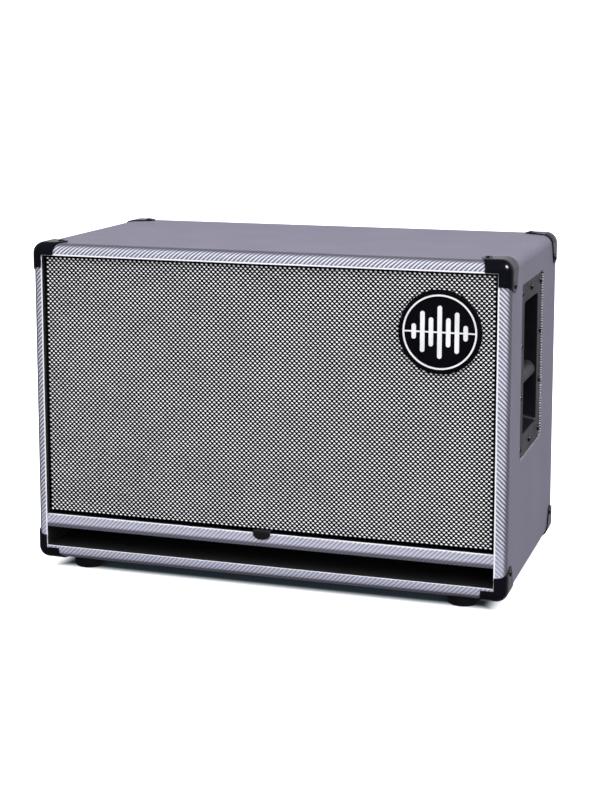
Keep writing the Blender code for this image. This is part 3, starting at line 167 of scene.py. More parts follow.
class Bench:
    """Modelling steps on the bench. Each leaves its mesh in place at the origin."""

    @staticmethod
    def clear() -> None:
        """Deselect every object."""
        bpy.ops.object.select_all(action="DESELECT")

    @staticmethod
    def hold(*pieces: Object) -> None:
        """Select only these pieces, the last one active.

        Args:
            pieces: objects to select.
        """
        Bench.clear()
        for piece in pieces:
            piece.select_set(True)
            bpy.context.view_layer.objects.active = piece

    @staticmethod
    def settle(name: str) -> Object:
        """Name the newest object and work its place into its mesh.

        Args:
            name: name of the piece.

        Returns:
            The piece, at the origin.
        """
        piece = bpy.context.object
        piece.name = piece.data.name = name
        Bench.hold(piece)
        bpy.ops.object.transform_apply(location=True, rotation=True, scale=True)
        return piece

    @staticmethod
    @contextmanager
    def editing(piece: Object, kind: Kind = Kind.CORNER) -> Iterator[None]:
        """Open a mesh in edit mode and close it again.

        Args:
            piece: mesh to open.
            kind: what is selected in it.
        """
        Bench.hold(piece)
        bpy.ops.object.mode_set(mode="EDIT")
        bpy.ops.mesh.select_mode(type=kind.value)
        yield
        bpy.ops.object.mode_set(mode="OBJECT")

    @staticmethod
    def choose(piece: Object, test: Test) -> None:
        """Select what passes a test, in an open mesh.

        Args:
            piece: mesh in edit mode.
            test: takes the middle of a corner, edge or face, and its normal
                or, for an edge, its direction.
        """
        bpy.ops.mesh.select_all(action="DESELECT")
        mesh = bmesh.from_edit_mesh(piece.data)
        corners, edges, _ = bpy.context.tool_settings.mesh_select_mode
        if corners:
            found = [(part, part.co, part.normal) for part in mesh.verts]
        elif edges:
            found = []
            for part in mesh.edges:
                start, end = (corner.co for corner in part.verts)
                found.append((part, (start + end) / 2, (end - start).normalized()))
        else:
            found = [(part, part.calc_center_median(), part.normal) for part in mesh.faces]
        for part, middle, lean in found:
            if test(middle, lean):
                part.select_set(True)
        mesh.select_flush_mode()
        bmesh.update_edit_mesh(piece.data)

    @staticmethod
    def pull(step: Point) -> None:
        """Extrude what is selected in the open mesh by a step."""
        bpy.ops.mesh.extrude_region_move(TRANSFORM_OT_translate={"value": step})

    @staticmethod
    def stretch(share: Point, centre: Point) -> None:
        """Resize what is selected in the open mesh along each axis, from a centre."""
        bpy.ops.transform.resize(value=share, center_override=centre)

    @staticmethod
    def weld() -> None:
        """Merge the corners of the open mesh that lie in one place."""
        bpy.ops.mesh.select_all(action="SELECT")
        bpy.ops.mesh.remove_doubles(threshold=HAIR)

    @staticmethod
    def face_outwards() -> None:
        """Turn every face of the open mesh outwards."""
        bpy.ops.mesh.select_all(action="SELECT")
        bpy.ops.mesh.normals_make_consistent(inside=False)

    @staticmethod
    def scrap(piece: Object) -> None:
        """Throw a used-up piece away."""
        bpy.data.objects.remove(piece, do_unlink=True)

    @staticmethod
    def block(name: str, low: Point, high: Point) -> Object:
        """Make a box between two opposite corners.

        Args:
            name: name of the piece.
            low: lowest corner.
            high: highest corner.

        Returns:
            The box.
        """
        Bench.clear()
        middle = [(a + b) / 2 for a, b in zip(low, high)]
        size = [b - a for a, b in zip(low, high)]
        bpy.ops.mesh.primitive_cube_add(size=1, location=middle, scale=size)
        return Bench.settle(name)

    @staticmethod
    def slab(name: str, middle: Pair, half: Pair, front: float, rear: float) -> Object:
        """Make a box round a point of the front view, between two depths.

        Args:
            name: name of the piece.
            middle: X and Z of its middle.
            half: half of its width and of its height.
            front: its lowest Y.
            rear: its highest Y.

        Returns:
            The box.
        """
        (x, z), (wide, tall) = middle, half
        return Bench.block(name, (x - wide, front, z - tall), (x + wide, rear, z + tall))

    @staticmethod
    def rod(
        name: str, radius: float, middle: Pair, front: float, rear: float, sides: int = 48
    ) -> Object:
        """Make a cylinder round a point of the front view, between two depths.

        Args:
            name: name of the piece.
            radius: radius of the cylinder.
            middle: X and Z of its axis.
            front: its lowest Y.
            rear: its highest Y.
            sides: number of flats round it.

        Returns:
            The cylinder.
        """
        Bench.clear()
        start, end = (Vector((middle[0], y, middle[1])) for y in (front, rear))
        run = end - start
        bpy.ops.mesh.primitive_cylinder_add(
            vertices=sides, radius=radius, depth=run.length, location=start + run / 2,
            rotation=Vector((0, 0, 1)).rotation_difference(run).to_euler(),
        )
        return Bench.settle(name)

    @staticmethod
    def round_edges(piece: Object, width: float, segments: int, test: Test) -> None:
        """Round the edges of a mesh that pass a test.

        Args:
            piece: mesh to round.
            width: how far the rounding reaches from each edge.
            segments: facets in each rounding.
            test: takes an edge's middle and direction.
        """
        with Bench.editing(piece, Kind.EDGE):
            Bench.choose(piece, test)
            bpy.ops.mesh.bevel(offset=width, segments=segments, affect="EDGES")

    @staticmethod
    def work(piece: Object, kind: str, **settings: object) -> None:
        """Add a modifier and apply it.

        Args:
            piece: mesh to work on.
            kind: Blender's name of the modifier's type.
            settings: its settings.
        """
        Bench.hold(piece)
        modifier = piece.modifiers.new(kind.lower(), kind)
        for setting, value in settings.items():
            setattr(modifier, setting, value)
        bpy.ops.object.modifier_apply(modifier=modifier.name)

    @staticmethod
    def soften(piece: Object, width: float, angle: float) -> None:
        """Round every edge of a mesh that is sharper than an angle, in degrees."""
        limit = math.radians(angle)
        Bench.work(piece, "BEVEL", width=width, segments=2, limit_method="ANGLE", angle_limit=limit)

    @staticmethod
    def combine(piece: Object, tool: Object, way: Way, overlapping: bool = False) -> None:
        """Cut, keep or join a piece with another solid, which is used up.

        Args:
            piece: solid to work on.
            tool: solid that works on it.
            way: what is done.
            overlapping: whether the tool is made of shapes that overlap.
        """
        Bench.work(
            piece, "BOOLEAN", operation=way.value, solver="EXACT",
            object=tool, use_self=overlapping,
        )
        Bench.scrap(tool)

    @staticmethod
    def thread(name: str, points: Sequence[Point]) -> Object:
        """Draw a chain of edges by pulling one corner from point to point.

        Args:
            name: name of the piece.
            points: points of the chain.

        Returns:
            The chain, with all of it selected when it is next opened.
        """
        Bench.clear()
        bpy.ops.mesh.primitive_plane_add(size=MM, location=points[0])
        piece = Bench.settle(name)
        with Bench.editing(piece):
            bpy.ops.mesh.select_all(action="SELECT")
            bpy.ops.mesh.merge(type="CENTER")
            for here, there in zip(points, points[1:]):
                step = Vector(there) - Vector(here)
                Bench.pull(step)
            bpy.ops.mesh.select_all(action="SELECT")
        return piece

    @staticmethod
    def plate(name: str, outline: Sequence[Point], thickness: Point) -> Object:
        """Fill a flat outline and pull it out to a solid.

        Args:
            name: name of the piece.
            outline: corners of the outline, in order.
            thickness: how far and which way it is pulled.

        Returns:
            The solid.
        """
        piece = Bench.thread(name, [*outline, outline[0]])
        with Bench.editing(piece):
            Bench.weld()
            bpy.ops.mesh.edge_face_add()
            Bench.pull(thickness)
            Bench.face_outwards()
        return piece

    @staticmethod
    def turned(
        name: str,
        outline: Sequence[Pair],
        centre: Point,
        axis: Point,
        steps: int = 64,
        sweep: float = FULL_TURN,
    ) -> Object:
        """Turn an outline about an axis with the spin tool.

        Args:
            name: name of the piece.
            outline: (radius, height) points. One that starts or ends off the
                axis is closed to a ring.
            centre: point on the axis where height is zero.
            axis: direction in which height is measured.
            steps: facets round the sweep.
            sweep: angle turned through, centred on the start direction.

        Returns:
            The turned solid.
        """
        up = Vector(axis)
        out = Vector((0, 0, 1)) if abs(up.z) < 0.5 else Vector((1, 0, 0))
        if sweep < FULL_TURN:
            out = Matrix.Rotation(-sweep / 2, 3, up) @ out
        closed = list(outline)
        if outline[0][0] or outline[-1][0]:
            closed.append(outline[0])
        points = [Vector(centre) + out * radius + up * height for radius, height in closed]
        piece = Bench.thread(name, points)
        with Bench.editing(piece):
            bpy.ops.mesh.select_all(action="SELECT")
            bpy.ops.mesh.spin(steps=steps, angle=sweep, center=centre, axis=up)
            Bench.weld()
            if sweep < FULL_TURN:
                bpy.ops.mesh.fill_holes(sides=0)
            Bench.face_outwards()
        return piece

    @staticmethod
    def twin(piece: Object, name: str, change: Matrix) -> Object:
        """Copy a piece, with its own mesh, to another place.

        Args:
            piece: piece to copy.
            name: name of the copy.
            change: move, turn or mirror that takes the piece to the copy.

        Returns:
            The copy, at the origin.
        """
        Bench.hold(piece)
        bpy.ops.object.duplicate()
        copy = bpy.context.object
        copy.matrix_world = change
        Bench.settle(name)
        if change.determinant() < 0:
            with Bench.editing(copy):
                Bench.face_outwards()
        return copy

    @staticmethod
    def join(piece: Object, *others: Object) -> Object:
        """Join other pieces into one and keep their finishes.

        Args:
            piece: piece that keeps its name.
            others: pieces that it takes in.

        Returns:
            The joined piece.
        """
        Bench.hold(*others, piece)
        bpy.ops.object.join()
        return piece

    @staticmethod
    def smooth(piece: Object, angle: float = 35, weighted: bool = True) -> None:
        """Shade a piece smooth up to an angle, with flat faces kept flat.

        Args:
            piece: mesh to shade.
            angle: sharpest angle, in degrees, that is shaded smooth.
            weighted: whether large faces rule the shading at their edges.
        """
        Bench.hold(piece)
        bpy.ops.object.shade_smooth_by_angle(angle=math.radians(angle))
        if weighted:
            Bench.work(piece, "WEIGHTED_NORMAL", keep_sharp=True, weight=50)


class Signal:
    """An output of a shader's nodes. Arithmetic on it adds Math nodes."""

    def __init__(self, recipe: "Recipe", socket: bpy.types.NodeSocket) -> None:
        """Wrap a socket of a recipe."""
        self.recipe = recipe
        self.socket = socket

    def _math(self, operation: str, *values: "Signal | float") -> "Signal":
        """Add one Math node on these values."""
        settings = {"operation": operation}
        return self.recipe.node("ShaderNodeMath", settings, dict(enumerate(values)))["Value"]

    def __add__(self, other: "Signal | float") -> "Signal":
        """Sum."""
        return self._math("ADD", self, other)

    def __radd__(self, other: float) -> "Signal":
        """Sum, from the right."""
        return self._math("ADD", other, self)

    def __sub__(self, other: "Signal | float") -> "Signal":
        """Difference."""
        return self._math("SUBTRACT", self, other)

    def __rsub__(self, other: float) -> "Signal":
        """Difference, from the right."""
        return self._math("SUBTRACT", other, self)

    def __mul__(self, other: "Signal | float") -> "Signal":
        """Product."""
        return self._math("MULTIPLY", self, other)

    def __rmul__(self, other: float) -> "Signal":
        """Product, from the right."""
        return self._math("MULTIPLY", other, self)

    def __pow__(self, other: float) -> "Signal":
        """Power."""
        return self._math("POWER", self, other)

    def sine(self) -> "Signal":
        """Sine of an angle in radians."""
        return self._math("SINE", self)

    def floor(self) -> "Signal":
        """Whole part."""
        return self._math("FLOOR", self)

    def fraction(self) -> "Signal":
        """What is left over the whole part."""
        return self._math("FRACT", self)

    def absolute(self) -> "Signal":
        """Value without its sign."""
        return self._math("ABSOLUTE", self)

    def least(self, other: "Signal | float") -> "Signal":
        """The smaller of two."""
        return self._math("MINIMUM", self, other)

    def most(self, other: "Signal | float") -> "Signal":
        """The larger of two."""
        return self._math("MAXIMUM", self, other)

    def ease(self, low: float, high: float) -> "Signal":
        """Smooth step from 0 at one value to 1 at another, which may be lower.

        Args:
            low: value at which it is 0.
            high: value at which it is 1.

        Returns:
            The step.
        """
        if low > high:
            return 1 - self.ease(high, low)
        settings = {"interpolation_type": "SMOOTHSTEP"}
        inputs = {"Value": self, "From Min": low, "From Max": high}
        return self.recipe.node("ShaderNodeMapRange", settings, inputs)["Result"]


class Recipe:
    """Node tree of one material, or of the studio's surroundings."""

    def __init__(self, owner: bpy.types.Material | bpy.types.World) -> None:
        """Start with an empty tree.

        Args:
            owner: material or world that the tree is of.
        """
        owner.use_nodes = True
        self.tree = owner.node_tree
        self.tree.nodes.clear()

    def node(
        self,
        kind: str,
        settings: dict[str, object],
        inputs: dict[int | str, "Signal | float | Point"],
    ) -> dict[str, Signal]:
        """Add a node.

        Args:
            kind: Blender's name of the node's type.
            settings: its settings.
            inputs: values or signals for its sockets, by number or name.

        Returns:
            Its live outputs by name.
        """
        made = self.tree.nodes.new(kind)
        for setting, value in settings.items():
            setattr(made, setting, value)
        for key, value in inputs.items():
            if isinstance(key, str):
                socket = next(s for s in made.inputs if s.name == key and s.enabled)
            else:
                socket = made.inputs[key]
            if isinstance(value, Signal):
                self.tree.links.new(value.socket, socket)
            elif socket.type == "RGBA":
                socket.default_value = (*value[:3], 1)
            else:
                socket.default_value = value
        return {s.name: Signal(self, s) for s in made.outputs if s.enabled}

    def place(self) -> Signal:
        """Object coordinates, in metres."""
        return self.node("ShaderNodeTexCoord", {}, {})["Object"]

    def axes(self, vector: Signal) -> tuple[Signal, Signal, Signal]:
        """Three parts of a vector."""
        parts = self.node("ShaderNodeSeparateXYZ", {}, {0: vector})
        return parts["X"], parts["Y"], parts["Z"]

    def stretched(self, vector: Signal, scale: Point) -> Signal:
        """Coordinates scaled along each axis."""
        inputs = {0: vector, 1: scale}
        return self.node("ShaderNodeVectorMath", {"operation": "MULTIPLY"}, inputs)["Vector"]

    def noise(self, vector: Signal, cell: float, detail: float = 2.0) -> Signal:
        """Cloudy noise with cells of a size, from 0 to 1."""
        inputs = {"Vector": vector, "Scale": 1 / cell, "Detail": detail}
        return self.node("ShaderNodeTexNoise", {}, inputs)["Fac"]

    def pebbles(self, vector: Signal, cell: float) -> Signal:
        """Rounded pebbles of a size, 0 in their middles.

        Args:
            vector: coordinates.
            cell: size of a pebble.

        Returns:
            Distance from the nearest middle.
        """
        settings = {"feature": "SMOOTH_F1"}
        inputs = {"Vector": vector, "Scale": 1 / cell, "Smoothness": 0.35}
        return self.node("ShaderNodeTexVoronoi", settings, inputs)["Distance"]

    def blend(self, share: Signal, first: "Colour | Signal", second: "Colour | Signal") -> Signal:
        """Colour between two, by a share from 0 to 1."""
        inputs = {"Factor": share, "A": first, "B": second}
        return self.node("ShaderNodeMix", {"data_type": "RGBA"}, inputs)["Result"]

    def relief(self, height: Signal, depth: float) -> Signal:
        """Normal of a surface raised by a signal of 0 to 1 over a depth."""
        return self.node("ShaderNodeBump", {}, {"Distance": depth, "Height": height})["Normal"]

    def surface(self, inputs: dict[str, "Signal | float | Point"]) -> None:
        """End the recipe in a Principled shader with these inputs."""
        shader = self.node("ShaderNodeBsdfPrincipled", {}, inputs)["BSDF"]
        self.node("ShaderNodeOutputMaterial", {}, {"Surface": shader})


@dataclass(frozen=True)
class Finish:
    """A finish of the real thing. Each kind mixes its own material."""

    name: str
    slot: str

    def mix(self, recipe: Recipe) -> None:
        """Fill an empty recipe.

        Args:
            recipe: recipe to fill.
        """
        raise NotImplementedError

    def material(self) -> bpy.types.Material:
        """The finish as a material, mixed when it is first asked for.

        Returns:
            The material.
        """
        found = bpy.data.materials.get(self.name)
        if not found:
            found = bpy.data.materials.new(self.name)
            self.mix(Recipe(found))
        return found


@dataclass(frozen=True)
class Coating(Finish):
    """A moulded, coated, painted or pressed surface with a grain."""

    colour: Colour = (0.5, 0.5, 0.5)
    faded: Colour = (0.5, 0.5, 0.5)
    patch: float = 60 * MM
    grain: Grain = Grain.FINE
    cell: float = 0.8 * MM
    depth: float = 0.05 * MM
    roughness: float = 0.5
    unevenness: float = 0.1
    metallic: float = 0.0
    sheen: float = 0.0
    specular: float = 0.5
    tint: Colour = (1.0, 1.0, 1.0)

    def mix(self, recipe: Recipe) -> None:
        """Fill a recipe with clouded colour, grain and uneven gloss.

        Args:
            recipe: recipe to fill.
        """
        place = recipe.place()
        patches = recipe.noise(place, self.patch, 4).ease(0.35, 0.65)
        if self.grain is Grain.PEBBLED:
            height = 1 - recipe.pebbles(place, self.cell)
        elif self.grain is Grain.BRUSHED:
            height = recipe.noise(recipe.stretched(place, (1, 1, 0.04)), self.cell, 3)
        else:
            height = recipe.noise(place, self.cell, 3)
        gloss = height * self.unevenness + patches * self.unevenness
        recipe.surface({
            "Base Color": recipe.blend(patches, self.colour, self.faded),
            "Roughness": gloss + (self.roughness - self.unevenness),
            "Metallic": self.metallic,
            "Specular IOR Level": self.specular,
            "Specular Tint": (*self.tint, 1.0),
            "Sheen Weight": self.sheen,
            "Normal": recipe.relief(height, self.depth),
        })


@dataclass(frozen=True)
class DiagonalWeave(Finish):
    """Silver covering of the front: slantwise ribs with painted streaks of highlight and shade, a
    pale rolled edge with a painted highlight, and painted shade at the outer edge and lower down.
    """

    bright: Colour = (0.93, 0.94, 1.0)
    shade: Colour = (0.42, 0.42, 0.53)
    groove: Colour = (0.08, 0.08, 0.115)
    # Pale turned inner edge: partly its own lighter colour, partly a painted highlight on its
    # rounding.
    piping: Colour = (0.76, 0.76, 0.81)
    # Painted shade on the band's outer part, where it turns away from the lamps.
    turned_edge_shade: Colour = (0.085, 0.083, 0.112)
    # Near black past the covered edge: on the opening's inner faces and on the rail's top behind
    # its front.
    black_past_edge: Colour = (0.004, 0.004, 0.005)
    # Painted shade lower down: the tone it fades to, the heights where it starts and ends, and its
    # strength.
    low_shade_tone: Colour = (0.57, 0.56, 0.73)
    low_shade_heights: Pair = (95 * MM, 60 * MM)
    low_shade_strength: float = 0.5
    pitch: float = 3.9 * MM
    stitch: float = 1.5 * MM
    wander: float = 9 * MM
    fibre: float = 0.5 * MM
    rolled: float = 2.1 * MM
    edge_shade_span: Pair = (9.5 * MM, 13.2 * MM)
    edge_shade_strength: float = 0.88
    cover: Pair = (-1.9 * MM, -1.3 * MM)
    depth: float = 0.4 * MM
    metallic: float = 0.4

    def mix(self, recipe: Recipe) -> None:
        """Fill a recipe that follows the UV map along and across each band.

        Args:
            recipe: recipe to fill.
        """
        plane = recipe.node("ShaderNodeUVMap", {"uv_map": Weave.UV}, {})["UV"]
        along, up, _ = recipe.axes(plane)
        wander = recipe.noise(recipe.place(), self.wander, 2) * 0.22
        rib = (along - up) * (1 / (self.pitch * math.sqrt(2))) + wander
        thread = (along + up) * (1 / (self.stitch * math.sqrt(2))) + rib.floor() * 0.5
        valley = (rib.fraction() - 0.5).absolute() * 2
        knot = (thread.fraction() - 0.5).absolute() * 2
        reach = recipe.node("ShaderNodeAttribute", {"attribute_name": Weave.REACH}, {})["Fac"]
        body = reach.ease(self.rolled * 0.8, self.rolled)
        fibres_and_glint_streaks = recipe.noise(recipe.stretched(recipe.place(), (1, 0.3, 1)), self.fibre, 2)
        # Rib tone runs from bright crests to shaded flanks, streaked by the fibre noise: partly the
        # weave's own pattern, partly painted highlight and shade for the rounded silver threads.
        tone = recipe.blend(
            (valley + knot * 0.18 + fibres_and_glint_streaks * 0.5 - 0.25).ease(0.05, 0.7), self.bright, self.shade
        )
        tone = recipe.blend((valley + knot * 0.1).ease(0.62, 0.92), tone, self.groove)
        # Painted shade: lower down the weave flattens towards one mid lilac tone, as for the bottom
        # lying in less light.
        level = recipe.axes(recipe.place())[2]
        tone = recipe.blend(level.ease(*self.low_shade_heights) * self.low_shade_strength, tone, self.low_shade_tone)
        # Painted shade: the band darkens towards its outer edge, where it turns from the light.
        tone = recipe.blend(reach.ease(*self.edge_shade_span) * self.edge_shade_strength, tone, self.turned_edge_shade)
        # Pale edge along the opening and the rail's top, partly its own colour and partly a painted
        # highlight on the rounding.
        tone = recipe.blend(body, self.piping, tone)
        # Near black on the opening's inner faces and the rail's top, past the covered edge.
        covered = reach.ease(*self.cover)
        height = (1 - valley ** 2.5) * body + knot * -0.12
        recipe.surface({
            "Base Color": recipe.blend(covered, self.black_past_edge, tone),
            "Roughness": 0.34 + valley * 0.22,
            "Metallic": body * self.metallic,
            "Normal": recipe.relief(height, self.depth),
        })


@dataclass(frozen=True)
class PlainWeave(Finish):
    """Cloth or webbing whose threads cross at a pitch, on object coordinates."""

    thread: Colour = (0.0045, 0.0045, 0.006)
    hollow: Colour = (0.0015, 0.0015, 0.002)
    across: float = 1.4 * MM
    upward: float = 1.4 * MM
    fuzz: float = 0.35 * MM
    depth: float = 0.2 * MM
    roughness: float = 0.8
    sheen: float = 0.0
    specular: float = 0.2

    def mix(self, recipe: Recipe) -> None:
        """Fill a recipe with a checker of raised threads.

        Args:
            recipe: recipe to fill.
        """
        place = recipe.place()
        x, _, z = recipe.axes(place)
        warp = (x * (math.pi / self.across)).sine()
        weft = (z * (math.pi / self.upward)).sine()
        raised = (warp * weft * 0.5 + 0.5).ease(0.1, 0.9)
        fuzz = recipe.noise(place, self.fuzz, 3)
        height = raised * 0.8 + fuzz * 0.2
        recipe.surface({
            "Base Color": recipe.blend(height, self.hollow, self.thread),
            "Roughness": self.roughness - fuzz * 0.15,
            "Specular IOR Level": self.specular,
            "Sheen Weight": self.sheen,
            "Normal": recipe.relief(height, self.depth),
        })


@dataclass(frozen=True)
class Yarn(Finish):
    """White yarn that floats over the grille cloth, with fine twisted fibres."""

    bright: Colour = (0.92, 0.92, 0.92)
    dull: Colour = (0.62, 0.62, 0.66)
    strand: float = 0.28 * MM
    cloud: float = 35 * MM
    fuzz: float = 0.4 * MM
    depth: float = 0.05 * MM
    roughness: float = 0.45

    def mix(self, recipe: Recipe) -> None:
        """Fill a recipe with strands along the float and clouded whiteness.

        Args:
            recipe: recipe to fill.
        """
        place = recipe.place()
        x, _, z = recipe.axes(place)
        clouds = recipe.noise(place, self.cloud, 3)
        strands = ((z + x * 0.3) * (FULL_TURN / self.strand)).sine() * 0.5 + 0.5
        fuzz = recipe.noise(place, self.fuzz, 2)
        tone = clouds.ease(0.25, 0.75) * 0.35 + strands * 0.2 + fuzz * 0.3
        recipe.surface({
            "Base Color": recipe.blend(tone, self.bright, self.dull),
            "Roughness": fuzz * 0.2 + (self.roughness - 0.1),
            "Normal": recipe.relief(strands * 0.6 + fuzz * 0.4, self.depth),
        })


@dataclass(frozen=True)
class Plywood(Finish):
    """Birch plywood, painted black round the slot, the front opening and the back panel."""

    birch: Colour = (0.62, 0.46, 0.28)
    streak: Colour = (0.40, 0.26, 0.13)
    paint: Colour = (0.012, 0.012, 0.013)
    paint_top: float = 74 * MM
    paint_rear: float = -121 * MM
    rebate_front: float = 130 * MM
    grain: float = 2.2 * MM
    depth: float = 0.12 * MM

    def mix(self, recipe: Recipe) -> None:
        """Fill a recipe with long grain and a painted zone.

        Args:
            recipe: recipe to fill.
        """
        place = recipe.place()
        _, y, z = recipe.axes(place)
        grain = recipe.noise(recipe.stretched(place, (0.06, 1, 1)), self.grain, 5)
        painted = z.ease(self.paint_top, self.paint_top - MM).most(
            y.ease(self.paint_rear, self.paint_rear - MM)
        ).most(y.ease(self.rebate_front, self.rebate_front + MM))
        wood = recipe.blend(grain.ease(0.35, 0.7), self.birch, self.streak)
        recipe.surface({
            "Base Color": recipe.blend(painted, wood, self.paint),
            "Roughness": 0.75 - grain * 0.15,
            "Normal": recipe.relief(grain, self.depth),
        })


@dataclass(frozen=True)
class BeadedCut(Finish):
    """Cut edge of the covering round a handle, a row of beads on black whose pale tops are painted
    highlights.
    """

    pale: Colour = (0.62, 0.63, 0.68)
    dark: Colour = (0.02, 0.02, 0.026)
    pitch: float = 3.3 * MM
    wander: float = 5 * MM
    depth: float = 0.3 * MM

    def mix(self, recipe: Recipe) -> None:
        """Fill a recipe with beads spaced up and along the edge, their tops painted pale as
        highlights.

        Args:
            recipe: recipe to fill.
        """
        place = recipe.place()
        _, y, z = recipe.axes(place)
        run = recipe.noise(place, self.wander, 2) * 1.1 + (y + z) * (1 / self.pitch)
        bead = (run.fraction() - 0.5).absolute() * 2
        recipe.surface({
            # Painted highlights: the bead tops are pale on the black edge.
            "Base Color": recipe.blend(bead.ease(0.35, 0.75), self.pale, self.dark),
            "Roughness": 0.35 + bead * 0.3,
            "Normal": recipe.relief(1 - bead, self.depth),
        })


class Weave:
    """Names of the maps that carry the diagonal weave over a band."""

    UV = "weave"
    REACH = "reach"

    @staticmethod
    def lay(piece: Object, place: Callable[[Vector, Vector], tuple[float, float, float]]) -> None:
        """Lay the weave on a band.

        Args:
            piece: mesh of the band.
            place: takes a face's middle and one of its corners, and gives the
                run along, the run up and the distance from the inner edge.
        """
        mesh = piece.data
        mesh.attributes.new(Weave.REACH, "FLOAT", "CORNER")
        mesh.uv_layers.new(name=Weave.UV)
        plane = mesh.uv_layers[Weave.UV].data
        reaches = mesh.attributes[Weave.REACH].data
        for face in mesh.polygons:
            for corner in face.loop_indices:
                point = mesh.vertices[mesh.loops[corner].vertex_index].co
                along, up, reach = place(face.center, point)
                plane[corner].uv = (along, up)
                reaches[corner].value = reach


@dataclass(frozen=True)
class Palette:
    """All finishes of the cabinet."""

    vinyl: Finish = Coating(
        "grey_vinyl_leathercloth", "grey_vinyl",
        colour=(0.182, 0.173, 0.226), faded=(0.204, 0.195, 0.252),
        grain=Grain.PEBBLED, cell=0.9 * MM, roughness=0.45, unevenness=0.08, specular=0.3,
    )
    board_vinyl: Finish = replace(vinyl, name="grey_vinyl_on_board", slot="grey_board")
    silver: Finish = DiagonalWeave("silver_diagonal_weave", "silver_weave")
    # Painted light: a brighter copy of the silver weave for the rail, which the lamps light less
    # than the band.
    silver_rail: Finish = DiagonalWeave(
        "silver_rail_weave", "silver_weave",
        bright=(1.0, 1.0, 1.0), shade=(0.62, 0.62, 0.77), groove=(0.13, 0.13, 0.18),
        piping=(0.9, 0.9, 0.93), rolled=0.9 * MM,
    )
    gloss: Finish = Coating(
        "gloss_black_plastic", "black_plastic",
        colour=(0.0030, 0.0034, 0.0055), faded=(0.0045, 0.0048, 0.0075),
        cell=3 * MM, depth=0.03 * MM, roughness=0.19, unevenness=0.03,
        specular=0.30, tint=(0.93, 0.90, 1.0),
    )
    badge: Finish = Coating(
        "satin_black_badge", "black_plastic",
        colour=(0.0018, 0.0018, 0.003), faded=(0.0026, 0.0026, 0.004),
        cell=3 * MM, depth=0.03 * MM, roughness=0.4, unevenness=0.05, specular=0.08,
    )
    grip: Finish = Coating(
        "handled_black_plastic", "black_plastic",
        colour=(0.016, 0.014, 0.015), faded=(0.028, 0.024, 0.025), patch=18 * MM,
        cell=0.7 * MM, depth=0.06 * MM, roughness=0.45, unevenness=0.12,
    )
    steel: Finish = Coating(
        "black_powder_coat", "black_steel",
        colour=(0.0032, 0.0030, 0.0048), faded=(0.0046, 0.0043, 0.0064),
        cell=0.6 * MM, roughness=0.38, unevenness=0.08, specular=0.32, tint=(0.93, 0.88, 1.0),
    )
    screw: Finish = Coating(
        "blackened_screw_steel", "black_steel",
        colour=(0.003, 0.003, 0.0035), faded=(0.006, 0.006, 0.0065), patch=6 * MM,
        cell=0.5 * MM, depth=0.02 * MM, roughness=0.24, unevenness=0.08,
    )
    rubber: Finish = Coating(
        "matt_black_rubber", "black_rubber",
        colour=(0.004, 0.004, 0.005), faded=(0.007, 0.007, 0.008), patch=20 * MM,
        cell=0.5 * MM, depth=0.06 * MM, roughness=0.75, specular=0.25,
    )
    paint: Finish = Coating(
        "black_textured_paint", "baffle_paint",
        colour=(0.004, 0.004, 0.005), faded=(0.007, 0.007, 0.008),
        cell=1.1 * MM, depth=0.1 * MM, roughness=0.7,
    )
    white: Finish = Coating(
        "white_inlay", "badge_white",
        colour=(0.72, 0.72, 0.74), faded=(0.64, 0.64, 0.67), patch=25 * MM,
        cell=1.5 * MM, depth=0.02 * MM, roughness=0.35, unevenness=0.06,
    )
    magnet: Finish = Coating(
        "ferrite_and_zinc", "magnet",
        colour=(0.05, 0.05, 0.055), faded=(0.09, 0.09, 0.095), patch=15 * MM,
        depth=0.06 * MM, unevenness=0.12, metallic=0.4,
    )
    nickel: Finish = Coating(
        "nickel_plate", "nickel",
        colour=(0.66, 0.64, 0.60), faded=(0.55, 0.53, 0.50), patch=8 * MM,
        grain=Grain.BRUSHED, cell=0.3 * MM, depth=0.01 * MM,
        roughness=0.26, unevenness=0.08, metallic=1.0,
    )
    paper: Finish = Coating(
        "pressed_cone_paper", "cone_paper",
        colour=(0.020, 0.020, 0.020), faded=(0.038, 0.036, 0.034), patch=9 * MM,
        cell=0.9 * MM, depth=0.18 * MM, roughness=0.85, unevenness=0.08, sheen=0.15,
    )
    fibreglass: Finish = Coating(
        "green_circuit_board", "board_green",
        colour=(0.03, 0.19, 0.06), faded=(0.05, 0.25, 0.09), patch=12 * MM,
        grain=Grain.PEBBLED, cell=2.5 * MM, roughness=0.4, unevenness=0.08,
    )
    jacket: Finish = Coating(
        "dark_red_insulation", "lead_jacket",
        colour=(0.22, 0.015, 0.015), faded=(0.30, 0.03, 0.03), patch=15 * MM,
        cell=0.6 * MM, depth=0.02 * MM, roughness=0.45, unevenness=0.08,
    )
    cloth: Finish = PlainWeave("black_grille_cloth", "grille_weave")
    yarn: Finish = Yarn("white_grille_yarn", "grille_weave")
    webbing: Finish = PlainWeave(
        "black_webbing", "webbing",
        thread=(0.008, 0.008, 0.010), across=1.1 * MM, upward=2.0 * MM, depth=0.35 * MM,
        roughness=0.6, sheen=0.03, specular=0.3,
    )
    spider: Finish = PlainWeave(
        "resin_dipped_cloth", "spider_cloth",
        thread=(0.55, 0.36, 0.12), hollow=(0.30, 0.17, 0.05), across=0.8 * MM, upward=0.8 * MM,
        depth=0.1 * MM, roughness=0.6, specular=0.4,
    )
    birch: Finish = Plywood("birch_plywood", "ply")
    beads: Finish = BeadedCut("beaded_cut_edge", "grey_vinyl")


PALETTE = Palette()


